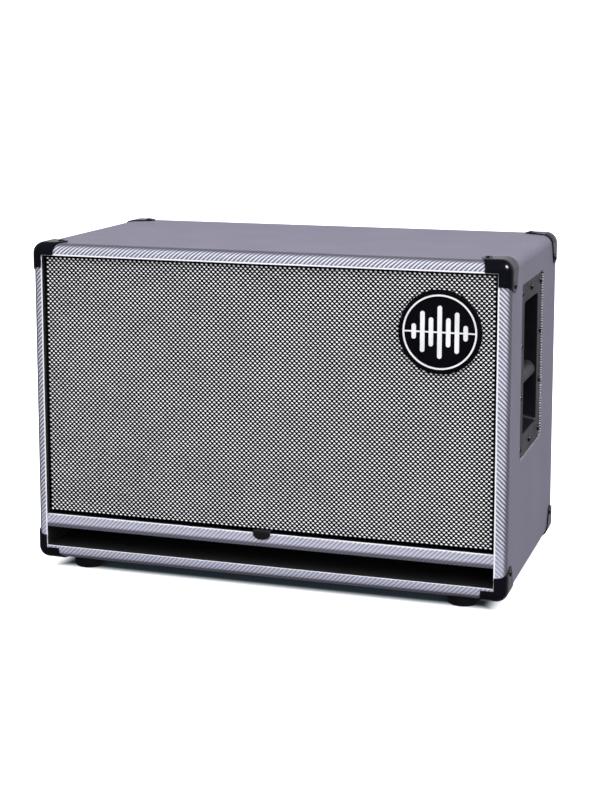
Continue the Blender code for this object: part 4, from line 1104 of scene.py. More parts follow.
class Assembly:
    """A sub-assembly that hands its pieces over one by one."""

    @staticmethod
    def dress(piece: Object, finish: Finish) -> Object:
        """Give a piece one finish.

        Args:
            piece: piece to dress.
            finish: its finish.

        Returns:
            The piece.
        """
        piece.data.materials.clear()
        piece.data.materials.append(finish.material())
        return piece

    @staticmethod
    def set_on(
        piece: Object, finish: Finish, body: Body, nodes: Sequence[str] = ()
    ) -> Object:
        """Set a dressed piece on its body, in place of the CAD nodes it stands for.

        Args:
            piece: finished piece.
            finish: its finish, whose name is reported.
            body: body that carries it.
            nodes: CAD nodes that it replaces.

        Returns:
            The piece.
        """
        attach(piece, body.value)
        Assembly.enter(piece, finish, nodes)
        return piece

    @staticmethod
    def hand_over(
        piece: Object,
        finish: Finish,
        body: Body,
        nodes: Sequence[str] = (),
        joined: Sequence[Object] = (),
    ) -> Object:
        """Dress a piece, join dressed pieces to it and set it on its body.

        Args:
            piece: piece to finish.
            finish: its finish.
            body: body that carries it.
            nodes: CAD nodes that it replaces.
            joined: pieces that it takes in, with finishes of their own.

        Returns:
            The piece.
        """
        Assembly.dress(piece, finish)
        if joined:
            Bench.join(piece, *joined)
        return Assembly.set_on(piece, finish, body, nodes)

    @staticmethod
    def enter(piece: Object, finish: Finish, nodes: Sequence[str]) -> None:
        """Hide the CAD nodes that a piece replaces, and report it.

        Args:
            piece: piece to enter.
            finish: its finish, whose name is reported.
            nodes: CAD nodes that it replaces.
        """
        if nodes:
            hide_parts(*nodes)
        LOG.info("%s: %d faces, %s", piece.name, len(piece.data.polygons), finish.name)


@dataclass
class PanScrew(Assembly):
    """Pan-head screw with a cross recess. One is modelled for each set and copied."""

    radius: float = 4.3 * MM
    height: float = 1.6 * MM
    bite: float = 0.3 * MM
    slot_width: float = 0.9 * MM
    slot_share: float = 0.56
    slot_depth: float = 1.1 * MM
    first_turn: float = 23
    next_turn: float = 67

    @staticmethod
    def corners(middle: Point, half: Pair, normal: Point) -> list[tuple[Point, Point]]:
        """Seats at the four corners of a rectangle in a plane across Y.

        Args:
            middle: middle of the rectangle.
            half: half of its width and of its height.
            normal: outward normal.

        Returns:
            Middle and normal of each seat.
        """
        x, y, z = middle
        wide, tall = half
        return [
            ((x + across * wide, y, z + up * tall), normal)
            for across in (-1, 1)
            for up in (-1, 1)
        ]

    def master(self) -> Object:
        """Model the head at the origin, facing up.

        Returns:
            The head.
        """
        dome = [
            (0, self.height), (self.radius * 0.45, self.height * 0.96),
            (self.radius * 0.78, self.height * 0.78), (self.radius * 0.95, self.height * 0.45),
            (self.radius, self.height * 0.1), (self.radius, -self.bite), (0, -self.bite),
        ]
        head = Bench.turned("screw_master", dome, (0, 0, 0), (0, 0, 1), 24)
        reach = self.radius * self.slot_share
        for wide, long in ((self.slot_width / 2, reach), (reach, self.slot_width / 2)):
            floor = self.height - self.slot_depth
            blade = Bench.block("screw_blade", (-wide, -long, floor), (wide, long, 2 * self.height))
            Bench.combine(head, blade, Way.CUT)
        self.dress(head, PALETTE.screw)
        Bench.smooth(head, 40, weighted=False)
        return head

    def drive(self, seats: Sequence[tuple[Point, Point]]) -> list[Object]:
        """Copy the head to its seats, each turned differently.

        Args:
            seats: middle and outward normal of each seat.

        Returns:
            The heads.
        """
        master = self.master()
        heads = []
        for index, (seat, normal) in enumerate(seats):
            turn = Vector((0, 0, 1)).rotation_difference(Vector(normal)).to_matrix().to_4x4()
            angle = math.radians(self.first_turn + self.next_turn * index)
            spin = Matrix.Rotation(angle, 4, "Z")
            change = Matrix.Translation(seat) @ turn @ spin
            heads.append(Bench.twin(master, f"screw_{index}", change))
        Bench.scrap(master)
        return heads


@dataclass
class Covering(Assembly):
    """Vinyl over the box, the woven band round its front and the woven rail."""

    facets: int = 10
    rail_front: float = -161.5 * MM
    rail_depth: float = 12 * MM
    rail_half: float = 286.0 * MM
    rail_radius: float = 1.5 * MM
    rail_roll: float = 0.5 * MM
    # Stretch of reach on the left band, which brings its painted edge shade nearer the opening.
    left_shade_stretch: float = 1.3
    bottom_roll: float = 1.2 * MM
    bottom_face: float = 0.9 * MM

    def blank(self, name: str, inset: float) -> Object:
        """Model the cabinet's rounded outer form, drawn in by an inset.

        Args:
            name: name of the piece.
            inset: how far it is drawn in.

        Returns:
            The form.
        """
        low = (inset - PLAN.half_width, PLAN.front + inset, PLAN.underside + inset)
        high = (PLAN.half_width - inset, PLAN.back - inset, PLAN.top - inset)
        piece = Bench.block(name, low, high)
        Bench.round_edges(piece, PLAN.edge_radius - inset, self.facets, lambda *_: True)
        return piece

    def sleeve(self, name: str, front: float, rear: float) -> Object:
        """Model a slice of the skin between two depths, open through its mouth.

        Args:
            name: name of the piece.
            front: its lowest Y.
            rear: its highest Y.

        Returns:
            The slice.
        """
        piece = self.blank(name, 0)
        Bench.combine(piece, self.blank("inside", PLAN.skin), Way.CUT)
        mouth = Bench.block(
            "mouth",
            (-PLAN.opening_x, PLAN.front - OVERRUN, PLAN.opening_bottom),
            (PLAN.opening_x, PLAN.back + OVERRUN, PLAN.opening_top),
        )
        Bench.combine(piece, mouth, Way.CUT)
        Bench.combine(piece, Bench.block("slice", (-1, front, -1), (1, rear, 1)), Way.KEEP)
        return piece

    def unrolled(self, middle: Vector, point: Vector) -> tuple[float, float, float]:
        """Place of a point of the front band on the weave, laid out flat.

        Args:
            middle: middle of the point's face.
            point: the point.

        Returns:
            Run along, run up and distance from the inner edge.
        """
        beyond = {
            (1, 0): middle.x - PLAN.opening_x,
            (-1, 0): -middle.x - PLAN.opening_x,
            (0, 1): middle.z - PLAN.opening_top,
            (0, -1): PLAN.opening_bottom - middle.z,
        }
        (side, level), width = max(beyond.items(), key=lambda item: item[1])
        radius = PLAN.edge_radius
        if side:
            out = point.x * side - (PLAN.half_width - radius)
            # On the left the reach is stretched, so the painted shade of the turned edge starts
            # nearer the opening.
            reach = (point.x * side - PLAN.opening_x) * (1 if side > 0 else self.left_shade_stretch)
        elif level > 0:
            out = point.z - (PLAN.top - radius)
            reach = point.z - PLAN.opening_top
        else:
            out = PLAN.underside + radius - point.z
            reach = PLAN.opening_bottom - point.z + self.bottom_roll
        if out > 0:
            out = radius * math.atan2(out, PLAN.front + radius - point.y)
        if side:
            along, up = side * (PLAN.half_width - radius + out), point.z
        else:
            edge = PLAN.top - radius if level > 0 else PLAN.underside + radius
            along, up = point.x, edge + level * out
        if width < HAIR:
            reach = PLAN.front - point.y - (self.bottom_face if level < 0 else 0)
        return along, -up if side > 0 else up, reach

    def build(self) -> None:
        """Model, dress and set the covering, the band and the rail."""
        covering = self.sleeve("vinyl_covering", PLAN.seam + PLAN.seam_gap / 2, PLAN.back + OVERRUN)
        for side in Side:
            Bench.combine(covering, SideHandle(side).rebate(), Way.CUT)
        Bench.smooth(covering)
        self.hand_over(covering, PALETTE.vinyl, Body.CABINET, ["grey_covering"])

        band = self.sleeve("woven_front_band", PLAN.front - OVERRUN, PLAN.seam - PLAN.seam_gap / 2)
        with Bench.editing(band, Kind.FACE):
            for x in (-PLAN.opening_x, PLAN.opening_x):
                bpy.ops.mesh.select_all(action="SELECT")
                bpy.ops.mesh.bisect(plane_co=(x, 0, 0), plane_no=(1, 0, 0))
        Bench.smooth(band)
        Weave.lay(band, self.unrolled)
        self.hand_over(band, PALETTE.silver, Body.CABINET, ["front_trim"])

        rear = self.rail_front + self.rail_depth
        rail = Bench.block(
            "woven_rail",
            (-self.rail_half, self.rail_front, PLAN.rail_bottom),
            (self.rail_half, rear, PLAN.rail_top),
        )

        def in_front(middle: Vector, run: Vector) -> bool:
            """Whether an edge runs along the rail's front face."""
            return runs_along_x(middle, run) and middle.y < self.rail_front + HAIR

        Bench.round_edges(rail, self.rail_radius, 5, in_front)
        groove = Bench.block(
            "groove",
            (-1, self.rail_front + PLAN.skin, PLAN.rail_bottom + PLAN.skin),
            (1, rear + OVERRUN, PLAN.rail_top - PLAN.skin),
        )
        Bench.combine(rail, groove, Way.CUT)
        Bench.smooth(rail)
        bare = self.rail_front + self.rail_radius

        def on_rail(_: Vector, point: Vector) -> tuple[float, float, float]:
            """Place of a point of the rail on the weave, which stops short on its top."""
            reach = PLAN.rail_top - point.z + self.rail_roll - max(0, point.y - bare)
            return point.x, point.z, reach

        Weave.lay(rail, on_rail)
        self.hand_over(rail, PALETTE.silver_rail, Body.CABINET, ["rail_trim"])


@dataclass
class CornerGuards(Assembly):
    """Eight glossy corner protectors, each with two flanges and two screws."""

    proud: float = 1.8 * MM
    leg: float = 28 * MM
    band: float = 12.5 * MM
    wrap: float = 13.5 * MM
    screw: Pair = (30 * MM, 24 * MM)
    tip: float = 8 * MM
    heel: Pair = (9 * MM, 35 * MM)
    heel_radius: float = 7 * MM
    lip: float = 0.35 * MM

    def flange(self) -> list[Pair]:
        """Outline of a flange: distances along the face and into the depth.

        Returns:
            Points of the outline.
        """
        reach = 2 * self.proud
        facets = 24
        circles = [
            (-reach, -reach, MM),
            (self.leg - 2 * MM, -2 * reach, MM),
            (*self.screw, self.tip),
            (*self.heel, self.heel_radius),
            (-reach, self.heel[1] + self.heel_radius - MM, MM),
        ]
        points = []
        for along, deep, radius in circles:
            for step in range(facets):
                angle = FULL_TURN * step / facets
                x, y = along + radius * math.cos(angle), deep + radius * math.sin(angle)
                points.append(Vector((x, y)))
        return [tuple(points[index]) for index in convex_hull_2d(points)]

    def master(self) -> Object:
        """Model the protector of the front top right corner.

        Returns:
            The protector with its screws.
        """
        covering = Covering(facets=12)
        guard = covering.blank("guard_master", -self.proud)
        Bench.combine(guard, covering.blank("guard_inside", -GAP), Way.CUT)
        edge = PLAN.half_width
        plan = [(edge - a, PLAN.front + d, PLAN.top - self.wrap) for a, d in self.flange()]
        side = [(edge - self.wrap, PLAN.front + d, PLAN.top - a) for a, d in self.flange()]
        guide = Bench.plate("guide_top", plan, (0, 0, 2 * self.wrap))
        guides = [Bench.plate("guide_side", side, (2 * self.wrap, 0, 0))]
        reach = 2 * self.proud
        for wide, tall in ((self.leg, self.band), (self.band, self.leg)):
            guides.append(Bench.block(
                "guide_band",
                (edge - wide, PLAN.front - reach, PLAN.top - tall),
                (edge + reach, PLAN.front + self.wrap, PLAN.top + reach),
            ))
        Bench.join(guide, *guides)
        Bench.combine(guard, guide, Way.KEEP, overlapping=True)
        with Bench.editing(guard):
            Bench.weld()
        Bench.soften(guard, self.lip, 50)
        self.dress(guard, PALETTE.gloss)
        Bench.smooth(guard)
        along, deep = self.screw
        seat_y = PLAN.front + deep
        heads = PanScrew().drive([
            ((edge - along, seat_y, PLAN.top + self.proud), (0, 0, 1)),
            ((edge + self.proud, seat_y, PLAN.top - along), (1, 0, 0)),
        ])
        return Bench.join(guard, *heads)

    def build(self) -> None:
        """Model one protector and copy it to all eight corners."""
        master = self.master()
        middle = Matrix.Translation((0, 0, PLAN.middle_z))
        for depth, flip_y in (("front", 1), ("rear", -1)):
            for side in Side:
                for level, flip_z in (("bottom", -1), ("top", 1)):
                    place = f"{depth}_{side.label}_{level}"
                    flips = Matrix.Diagonal((side.value, flip_y, flip_z, 1))
                    change = middle @ flips @ middle.inverted()
                    guard = Bench.twin(master, f"guard_{place}", change)
                    self.set_on(guard, PALETTE.gloss, Body.CABINET, [f"corner_{place}"])
        Bench.scrap(master)


@dataclass
class Feet(Assembly):
    """Four round rubber feet, each with a screw well."""

    x: float = 243 * MM
    y: float = 127.5 * MM
    radius: float = 20 * MM
    base: float = 18.5 * MM
    height: float = 14.2 * MM
    bore: float = 7 * MM
    well: float = 7 * MM

    def build(self) -> None:
        """Turn one foot and copy it to four places."""
        radius, base, bore, height = self.radius, self.base, self.bore, self.height
        outline = [
            (0, height), (radius - 1.2 * MM, height), (radius - 0.3 * MM, height - 0.4 * MM),
            (radius, height - 1.2 * MM), (radius, 4.2 * MM), (base + 0.6 * MM, 1.6 * MM),
            (base, 0.6 * MM), (base - 0.8 * MM, 0), (bore + 0.8 * MM, 0), (bore, 0.8 * MM),
            (bore, self.well), (0, self.well),
        ]
        master = Bench.turned("foot_master", outline, (0, 0, 0), (0, 0, 1), 64)
        Bench.smooth(master, SOFT_ANGLE)
        self.dress(master, PALETTE.rubber)
        for depth, y in (("front", -self.y), ("rear", self.y)):
            for side in Side:
                place = Matrix.Translation((side.value * self.x, y, 0))
                foot = Bench.twin(master, f"rubber_foot_{depth}_{side.label}", place)
                node = f"foot_{depth}_{side.label}"
                self.set_on(foot, PALETTE.rubber, Body.CABINET, [node])
        Bench.scrap(master)


@dataclass
class SideHandle(Assembly):
    """Pressed handle dish let into a side, with ten screws and a grip bar."""

    side: Side
    face: float = 298 * MM
    y: float = -12.5 * MM
    z: float = 271.5 * MM
    deep: float = 145 * MM
    tall: float = 213 * MM
    thick: float = 2.5 * MM
    corner: float = 6 * MM
    margin: float = 0.5 * MM
    pocket_deep: float = 89 * MM
    pocket_tall: float = 163 * MM
    pocket_depth: float = 52 * MM
    pocket_corner: float = 5 * MM
    taper: float = 0.84
    wall: float = 2.5 * MM
    floor_round: float = 4 * MM
    rim_round: float = 1.6 * MM
    edge_round: float = 0.5 * MM
    fray: float = 0.05 * MM
    pitch: float = 63 * MM
    grip_x: float = 285 * MM
    grip_z: float = 256.5 * MM
    grip_radius: float = 10.5 * MM
    grip_half: float = 40.9 * MM

    def panel(self, name: str, low_x: float, high_x: float, grow: float) -> Object:
        """Model a plate with the dish's outline, grown by a margin, on the right side.

        Args:
            name: name of the piece.
            low_x: its inner face.
            high_x: its outer face.
            grow: the margin.

        Returns:
            The plate.
        """
        deep, tall = self.deep / 2 + grow, self.tall / 2 + grow
        piece = Bench.block(
            name, (low_x, self.y - deep, self.z - tall), (high_x, self.y + deep, self.z + tall)
        )
        Bench.round_edges(piece, self.corner + grow, 6, runs_along_x)
        return piece

    def rebate(self) -> Object:
        """Model the seat of the plate as a cutter for the covering.

        Returns:
            The cutter.
        """
        low = self.face - self.thick - GAP
        piece = self.panel("rebate", low, self.face + OVERRUN, self.margin)
        if self.side is Side.LEFT:
            mirrored = Bench.twin(piece, "rebate_left", Matrix.Diagonal((-1, 1, 1, 1)))
            Bench.scrap(piece)
            return mirrored
        return piece

    def bowl(self, name: str, grow: float, rise: float) -> Object:
        """Model the tapered form of the pocket, grown by a margin, with a rounded floor.

        Args:
            name: name of the piece.
            grow: the margin.
            rise: how far it stands out of the plate's face.

        Returns:
            The form.
        """
        floor = self.face - self.pocket_depth - grow
        deep, tall = self.pocket_deep / 2 + grow, self.pocket_tall / 2 + grow
        piece = Bench.block(
            name,
            (floor, self.y - deep, self.z - tall),
            (self.face + rise, self.y + deep, self.z + tall),
        )
        with Bench.editing(piece, Kind.FACE):
            Bench.choose(piece, lambda middle, _: middle.x < floor + MM)
            Bench.stretch((1, self.taper, self.taper), (floor, self.y, self.z))
        Bench.round_edges(piece, self.pocket_corner + grow, 8, runs_along_x)
        edge = self.floor_round + grow
        Bench.round_edges(piece, edge, 5, lambda middle, _: middle.x < floor + HAIR)
        return piece

    def dish(self) -> Object:
        """Model the plate, its pocket and its screws on the right side.

        Returns:
            The dish.
        """
        dish = self.panel("handle_dish", self.face - self.thick, self.face, 0)
        Bench.combine(dish, self.bowl("bowl", self.wall, -0.6 * MM), Way.FUSE)
        Bench.combine(dish, self.bowl("pocket", 0, MM), Way.CUT)

        def on_face(middle: Vector, inside: bool) -> bool:
            """Whether an edge lies in the outer face, at its pocket or at its rim.

            Args:
                middle: middle of the edge.
                inside: whether the pocket is asked for.

            Returns:
                Whether it lies there.
            """
            deep, tall = abs(middle.y - self.y), abs(middle.z - self.z)
            near = deep < self.pocket_deep / 2 + MM and tall < self.pocket_tall / 2 + MM
            return abs(middle.x - self.face) < HAIR and near == inside

        Bench.round_edges(dish, self.rim_round, 4, lambda middle, _: on_face(middle, True))
        Bench.round_edges(dish, self.edge_round, 2, lambda middle, _: on_face(middle, False))
        Bench.smooth(dish)
        self.dress(dish, PALETTE.steel)
        seats = []
        for column in (-1, 0, 1):
            for row in (-1.5, -0.5, 0.5, 1.5):
                if column or abs(row) > 1:
                    seat = (self.face, self.y + column * self.pitch, self.z + row * self.pitch)
                    seats.append((seat, (1, 0, 0)))
        return Bench.join(dish, *PanScrew(radius=4 * MM, height=2.2 * MM).drive(seats))

    def grip(self) -> Object:
        """Turn the grip bar on the right side.

        Returns:
            The bar.
        """
        half, radius = self.grip_half, self.grip_radius
        collar = in_mm((0.8, 0), (0.6, 2), (0, 7))
        left = [(radius + flare, run - half) for flare, run in collar]
        outline = [(0, -half), *left, *[(out, -run) for out, run in reversed(left)], (0, half)]
        bar = Bench.turned("handle_bar", outline, (self.grip_x, self.y, self.grip_z), (0, 1, 0), 48)
        Bench.smooth(bar, SOFT_ANGLE)
        return self.dress(bar, PALETTE.grip)

    def cut_edge(self) -> Object:
        """Model the beaded cut edge that shows between the plate and the covering.

        Returns:
            The edge.
        """
        top = PLAN.half_width - 2 * self.fray
        ring = self.panel("cut_edge", self.face - MM, top, self.margin - self.fray)
        hole = self.panel("cut_hole", self.face - OVERRUN, top + MM, self.fray)
        Bench.combine(ring, hole, Way.CUT)
        Bench.smooth(ring)
        return self.dress(ring, PALETTE.beads)

    def build(self) -> None:
        """Model the right handle's pieces, mirror them if need be, and set them."""
        change = Matrix.Diagonal((self.side.value, 1, 1, 1))
        made = (
            (self.dish(), "pressed_handle_dish", PALETTE.steel, ["handle_dish_"]),
            (self.grip(), "handle_bar", PALETTE.grip, ["handle_grip_"]),
            (self.cut_edge(), "handle_cut_edge", PALETTE.beads, []),
        )
        for master, name, finish, nodes in made:
            piece = Bench.twin(master, f"{name}_{self.side.label}", change)
            Bench.scrap(master)
            self.set_on(piece, finish, Body.CABINET, [node + self.side.label for node in nodes])


@dataclass
class Grille(Assembly):
    """Grille that lifts off: cloth with its white floats, badge and pull tab."""

    half: float = 283.6 * MM
    low: float = 75.0 * MM
    high: float = 398.4 * MM
    face: float = -155.9 * MM
    turn: float = 9 * MM
    cloth: float = 0.5 * MM
    front_round: float = 1.2 * MM
    corner_round: float = 1.0 * MM
    pitch_x: float = 5.85 * MM
    pitch_z: float = 5.70 * MM
    float_half: Pair = (1.62 * MM, 1.08 * MM)
    hem: float = 4.0 * MM
    float_sink: float = 0.05 * MM
    float_rise: float = 0.3 * MM
    float_top: Point = (0.84, 1, 0.8)
    lean: float = -10.0
    badge_x: float = 218 * MM
    badge_z: float = 329.5 * MM
    badge_radius: float = 49.5 * MM
    badge_rear: float = -156.3 * MM
    badge_front: float = -158.8 * MM
    inlay_rear: float = -159.1 * MM
    inlay_front: float = -159.9 * MM
    inlay_edge: float = 0.18 * MM
    ring: Pair = (41.9 * MM, 44.0 * MM)
    line_half: Pair = (43 * MM, 0.9 * MM)
    bar_half: float = 2.7 * MM
    bar_round: float = 2.6 * MM
    bar_pitch: float = 10.2 * MM
    bar_lengths: tuple[float, ...] = (62 * MM, 34 * MM, 48 * MM, 18 * MM)
    tab_x: Pair = (-10 * MM, 12 * MM)
    tab_thick: float = 1.0 * MM
    tab_round: float = 0.25 * MM

    def build_cloth(self) -> None:
        """Model the stretched cloth, turned back round its frame, and its floats."""
        sheet = Bench.block(
            "stretched_grille_cloth",
            (-self.half, self.face, self.low),
            (self.half, self.face + self.turn, self.high),
        )
        with Bench.editing(sheet, Kind.FACE):
            Bench.choose(sheet, lambda _, normal: normal.y > 0.5)
            bpy.ops.mesh.delete(type="FACE")
        front = self.face + HAIR
        Bench.round_edges(sheet, self.front_round, 4, lambda middle, _: middle.y < front)
        Bench.round_edges(sheet, self.corner_round, 3, runs_along_y)
        Bench.work(sheet, "SOLIDIFY", thickness=self.cloth, offset=-1)
        Bench.smooth(sheet)
        self.hand_over(sheet, PALETTE.cloth, Body.GRILLE, ["grille_cloth"])

        for inset, label in enumerate(("odd", "even")):
            floats = self.floats(f"yarn_floats_{label}", inset)
            self.hand_over(floats, PALETTE.yarn, Body.GRILLE)

    def floats(self, name: str, inset: int) -> Object:
        """Model one white float and repeat it over every other row of the cloth.

        Args:
            name: name of the piece.
            inset: how many floats fewer than fit lie each way, one for the
                rows between.

        Returns:
            The floats.
        """
        counts = []
        starts = []
        for pitch, size, middle in (
            (self.pitch_x, 2 * self.half, 0),
            (self.pitch_z, self.high - self.low, (self.low + self.high) / 2),
        ):
            count = int((size - self.hem) / pitch) + 1 - inset
            counts.append(count)
            starts.append(middle - (count - 1) / 2 * pitch)
        centre = (starts[0], self.face + self.float_sink, starts[1])
        half_x, half_z = self.float_half
        Bench.clear()
        bpy.ops.mesh.primitive_circle_add(
            vertices=8, radius=half_x, fill_type="NGON", location=centre,
            rotation=(math.radians(90), 0, 0),
        )
        piece = Bench.settle(name)
        with Bench.editing(piece):
            bpy.ops.mesh.select_all(action="SELECT")
            Bench.stretch((1, 1, half_z / half_x), centre)
            Bench.pull((0, -self.float_rise, 0))
            Bench.stretch(self.float_top, centre)
            bpy.ops.mesh.select_all(action="SELECT")
            bpy.ops.transform.rotate(
                value=math.radians(self.lean), orient_axis="Y", center_override=centre
            )
            Bench.face_outwards()
        for count, step in zip(counts, ((self.pitch_x, 0, 0), (0, 0, self.pitch_z))):
            Bench.work(
                piece, "ARRAY", count=count, use_relative_offset=False,
                use_constant_offset=True, constant_offset_displace=step,
            )
        Bench.smooth(piece, 75, weighted=False)
        return piece

    def build_badge(self) -> None:
        """Turn the black disc and lay a ring, a line and level bars on it."""
        thick = self.badge_rear - self.badge_front
        radius = self.badge_radius
        outline = [
            (0, 0), (radius, 0), (radius, thick - 0.9 * MM),
            (radius - 0.25 * MM, thick - 0.35 * MM), (radius - 0.9 * MM, thick),
            (radius - 4.0 * MM, thick), (radius - 4.3 * MM, thick - 0.25 * MM),
            (0, thick - 0.25 * MM),
        ]
        centre = (self.badge_x, self.badge_rear, self.badge_z)
        disc = Bench.turned("black_badge_disc", outline, centre, (0, -1, 0), 128)
        Bench.smooth(disc, 40)
        self.hand_over(disc, PALETTE.badge, Body.GRILLE, ["badge_disc"])

        rise = self.inlay_rear - self.inlay_front
        inner, outer = self.ring
        ring = [(inner, 0), (outer, 0), (outer, rise), (inner, rise)]
        centre = (self.badge_x, self.inlay_rear, self.badge_z)
        inlay = Bench.turned("white_level_bars", ring, centre, (0, -1, 0), 128)
        depths = (self.inlay_front, self.inlay_rear)
        line = Bench.slab("inlay_line", (self.badge_x, self.badge_z), self.line_half, *depths)
        Bench.combine(inlay, line, Way.FUSE)
        for step, length in enumerate(self.bar_lengths):
            for sign in (-1, 1) if step else (1,):
                middle = (self.badge_x + sign * step * self.bar_pitch, self.badge_z)
                bar = Bench.slab("inlay_bar", middle, (self.bar_half, length / 2), *depths)
                Bench.round_edges(bar, self.bar_round, 6, runs_along_y)
                Bench.combine(inlay, bar, Way.FUSE)
        face = self.inlay_front + HAIR
        Bench.round_edges(inlay, self.inlay_edge, 2, lambda middle, _: middle.y < face)
        Bench.smooth(inlay)
        self.hand_over(inlay, PALETTE.white, Body.GRILLE, ["badge_emblem"])

    def build_tab(self) -> None:
        """Pull the webbing tab out from under the cloth and over the rail."""
        left, right = self.tab_x
        middle_x, half = (left + right) / 2, (right - left) / 2
        bend, bend_y, bend_z = 1.65, -161.0, 72.5
        bowl_top, bottom = 71.2, 64.0
        path = [(y, bend_z + bend) for y in (-143.0, -150.0, -158.5)]
        for degrees in (20, 40, 60, 80):
            angle = math.radians(degrees)
            path.append((bend_y - bend * math.sin(angle), bend_z + bend * math.cos(angle)))
        levels = (bowl_top, 69.8, 68.4, 67.2, 66.2, 65.4, 64.8, 64.35, 64.05)
        path += [(bend_y - bend, z) for z in levels]
        start_y, start_z = path[0]
        tab = Bench.thread(
            "webbing_pull_tab",
            [(left + 2 * half * step / 16, start_y * MM, start_z * MM) for step in range(17)],
        )
        wide = half
        with Bench.editing(tab):
            bpy.ops.mesh.select_all(action="SELECT")
            for (y, z), (next_y, next_z) in zip(path, path[1:]):
                Bench.pull((0, (next_y - y) * MM, (next_z - z) * MM))
                if next_z < bowl_top:
                    share = (next_z - bottom) / (bowl_top - bottom)
                    target = half * (0.12 + 0.88 * math.sqrt(1 - (1 - share) ** 2))
                    Bench.stretch((target / wide, 1, 1), (middle_x, next_y * MM, next_z * MM))
                    wide = target
            Bench.face_outwards()
        Bench.work(tab, "SOLIDIFY", thickness=self.tab_thick, offset=0)
        Bench.soften(tab, self.tab_round, 60)
        Bench.smooth(tab)
        self.hand_over(tab, PALETTE.webbing, Body.GRILLE, ["pull_tab"])

    def build(self) -> None:
        """Build everything that lifts off with the grille."""
        self.build_cloth()
        self.build_badge()
        self.build_tab()


@dataclass
class Woofer(Assembly):
    """Ten-inch driver: pressed frame, paper cone, dust cap and half-roll surround.

    Depths run inwards from the baffle's front face.
    """

    side: Side
    x: float = 136 * MM
    z: float = 209.5 * MM
    radius: float = 130.5 * MM
    rim: float = 114 * MM
    flush: float = 1.5 * MM
    flange: float = 5.2 * MM
    wall: float = 2.5 * MM
    cone_radius: float = 99 * MM
    cone_land: float = 6 * MM
    cone_front: float = 2.0 * MM
    cone_depth: float = 44 * MM
    cone_skin: float = 1.2 * MM
    cone_bow: float = 1.6 * MM
    coil_radius: float = 26.3 * MM
    coil_end: float = 93 * MM
    roll_skin: float = 0.9 * MM
    cap_radius: float = 36 * MM
    cap_rise: float = 15.5 * MM
    window: float = 29 * MM
    window_depths: Pair = (22 * MM, 50 * MM)
    screw_ring: float = 123.5 * MM
    screws: int = 8
    facets: int = 96
    sectors: int = 16

    @property
    def centre(self) -> Vector:
        """Point of the axis in the baffle's front face."""
        return Vector((self.side.value * self.x, PLAN.baffle_front, self.z))

    @property
    def body(self) -> Body:
        """Body that strokes."""
        return Body.LEFT_CONE if self.side is Side.LEFT else Body.RIGHT_CONE

    def node(self, part: str) -> list[str]:
        """CAD node of a part of this driver, as a list of one."""
        return [f"woofer_{self.side.label}_{part}"]

    def turn(self, name: str, outline: Sequence[Pair]) -> Object:
        """Turn an outline about the driver's axis."""
        label = f"{name}_{self.side.label}"
        return Bench.turned(label, outline, self.centre, (0, 1, 0), self.facets)

    def build_frame(self) -> None:
        """Turn the pressed frame, cut its windows, add its terminals and drive its screws."""
        rear = self.flush + self.flange
        wall, rim = self.wall, self.rim
        outline = [
            (self.radius - 0.6 * MM, self.flush),
            (self.radius, self.flush + 0.6 * MM),
            (self.radius, rear),
            (rim, rear),
            (rim, rear + 4 * wall),
            *in_mm(
                (74, 59.5), (74, 76.5), (33, 76.5), (33, 74), (69.5, 74),
                (69.5, 62), (62, 62), (62, 59.5), (69.5, 59.5), (69.5, 57),
            ),
            (rim - wall, rear + 2 * wall),
            (rim - wall, self.flush),
        ]
        basket = self.turn("woofer_frame", outline)
        centre = self.centre
        middle = (centre.x, centre.z)
        front, rear = (centre.y + depth for depth in self.window_depths)
        for half in ((self.radius, self.window), (self.window, self.radius)):
            Bench.combine(basket, Bench.slab("window", middle, half, front, rear), Way.CUT)
        block = Bench.block(
            "terminal",
            (centre.x - 10 * MM, centre.y + 62 * MM, centre.z - 81.5 * MM),
            (centre.x + 10 * MM, centre.y + 72 * MM, centre.z - 71.5 * MM),
        )
        Bench.combine(basket, block, Way.FUSE)
        Bench.smooth(basket)
        seats = []
        for index in range(self.screws):
            angle = FULL_TURN * (index + 0.5) / self.screws
            out = self.screw_ring
            seat = centre + Vector((out * math.cos(angle), self.flush, out * math.sin(angle)))
            seats.append((seat, (0, -1, 0)))
        heads = PanScrew(radius=4 * MM).drive(seats)
        self.hand_over(basket, PALETTE.steel, Body.CABINET, self.node("basket"), heads)

    def build_cone(self) -> None:
        """Turn the cone with its coil former, and the dust cap."""
        edge = self.cone_radius - self.cone_land
        skin, coil = self.cone_skin, self.coil_radius
        throat = self.cone_front + self.cone_depth
        steps = 14
        face = []
        for step in range(steps + 1):
            share = step / steps
            bow = self.cone_bow * math.sin(math.pi * share)
            face.append((
                edge + (coil - edge) * share,
                self.cone_front + (throat - skin / 2 - self.cone_front) * share + bow,
            ))
        outline = [
            (self.cone_radius, self.cone_front),
            *face,
            (coil - MM, throat),
            (coil - MM, self.coil_end),
            (coil, self.coil_end),
            *[(radius, depth + skin) for radius, depth in reversed(face)],
            (self.cone_radius, self.cone_front + skin),
        ]
        cone = self.turn("paper_cone", outline)
        Bench.smooth(cone, SOFT_ANGLE)
        self.hand_over(cone, PALETTE.paper, self.body, self.node("cone"))

        slope = (self.cone_depth - skin / 2) / (edge - coil)
        seat = self.cone_front + (edge - self.cap_radius) * slope - 2 * GAP
        dome = (self.cap_radius ** 2 + self.cap_rise ** 2) / (2 * self.cap_rise)
        half = math.asin(self.cap_radius / dome)
        middle = seat + dome - self.cap_rise
        rings = [half * step / 9 for step in range(10)]
        outer = [(dome * math.sin(angle), middle - dome * math.cos(angle)) for angle in rings]
        shell = dome - MM
        inner = [(shell * math.sin(a), middle - shell * math.cos(a)) for a in reversed(rings)]
        cap = self.turn("dust_cap", outer + inner)
        Bench.smooth(cap, SOFT_ANGLE)
        self.hand_over(cap, PALETTE.paper, self.body, self.node("dust_cap"))

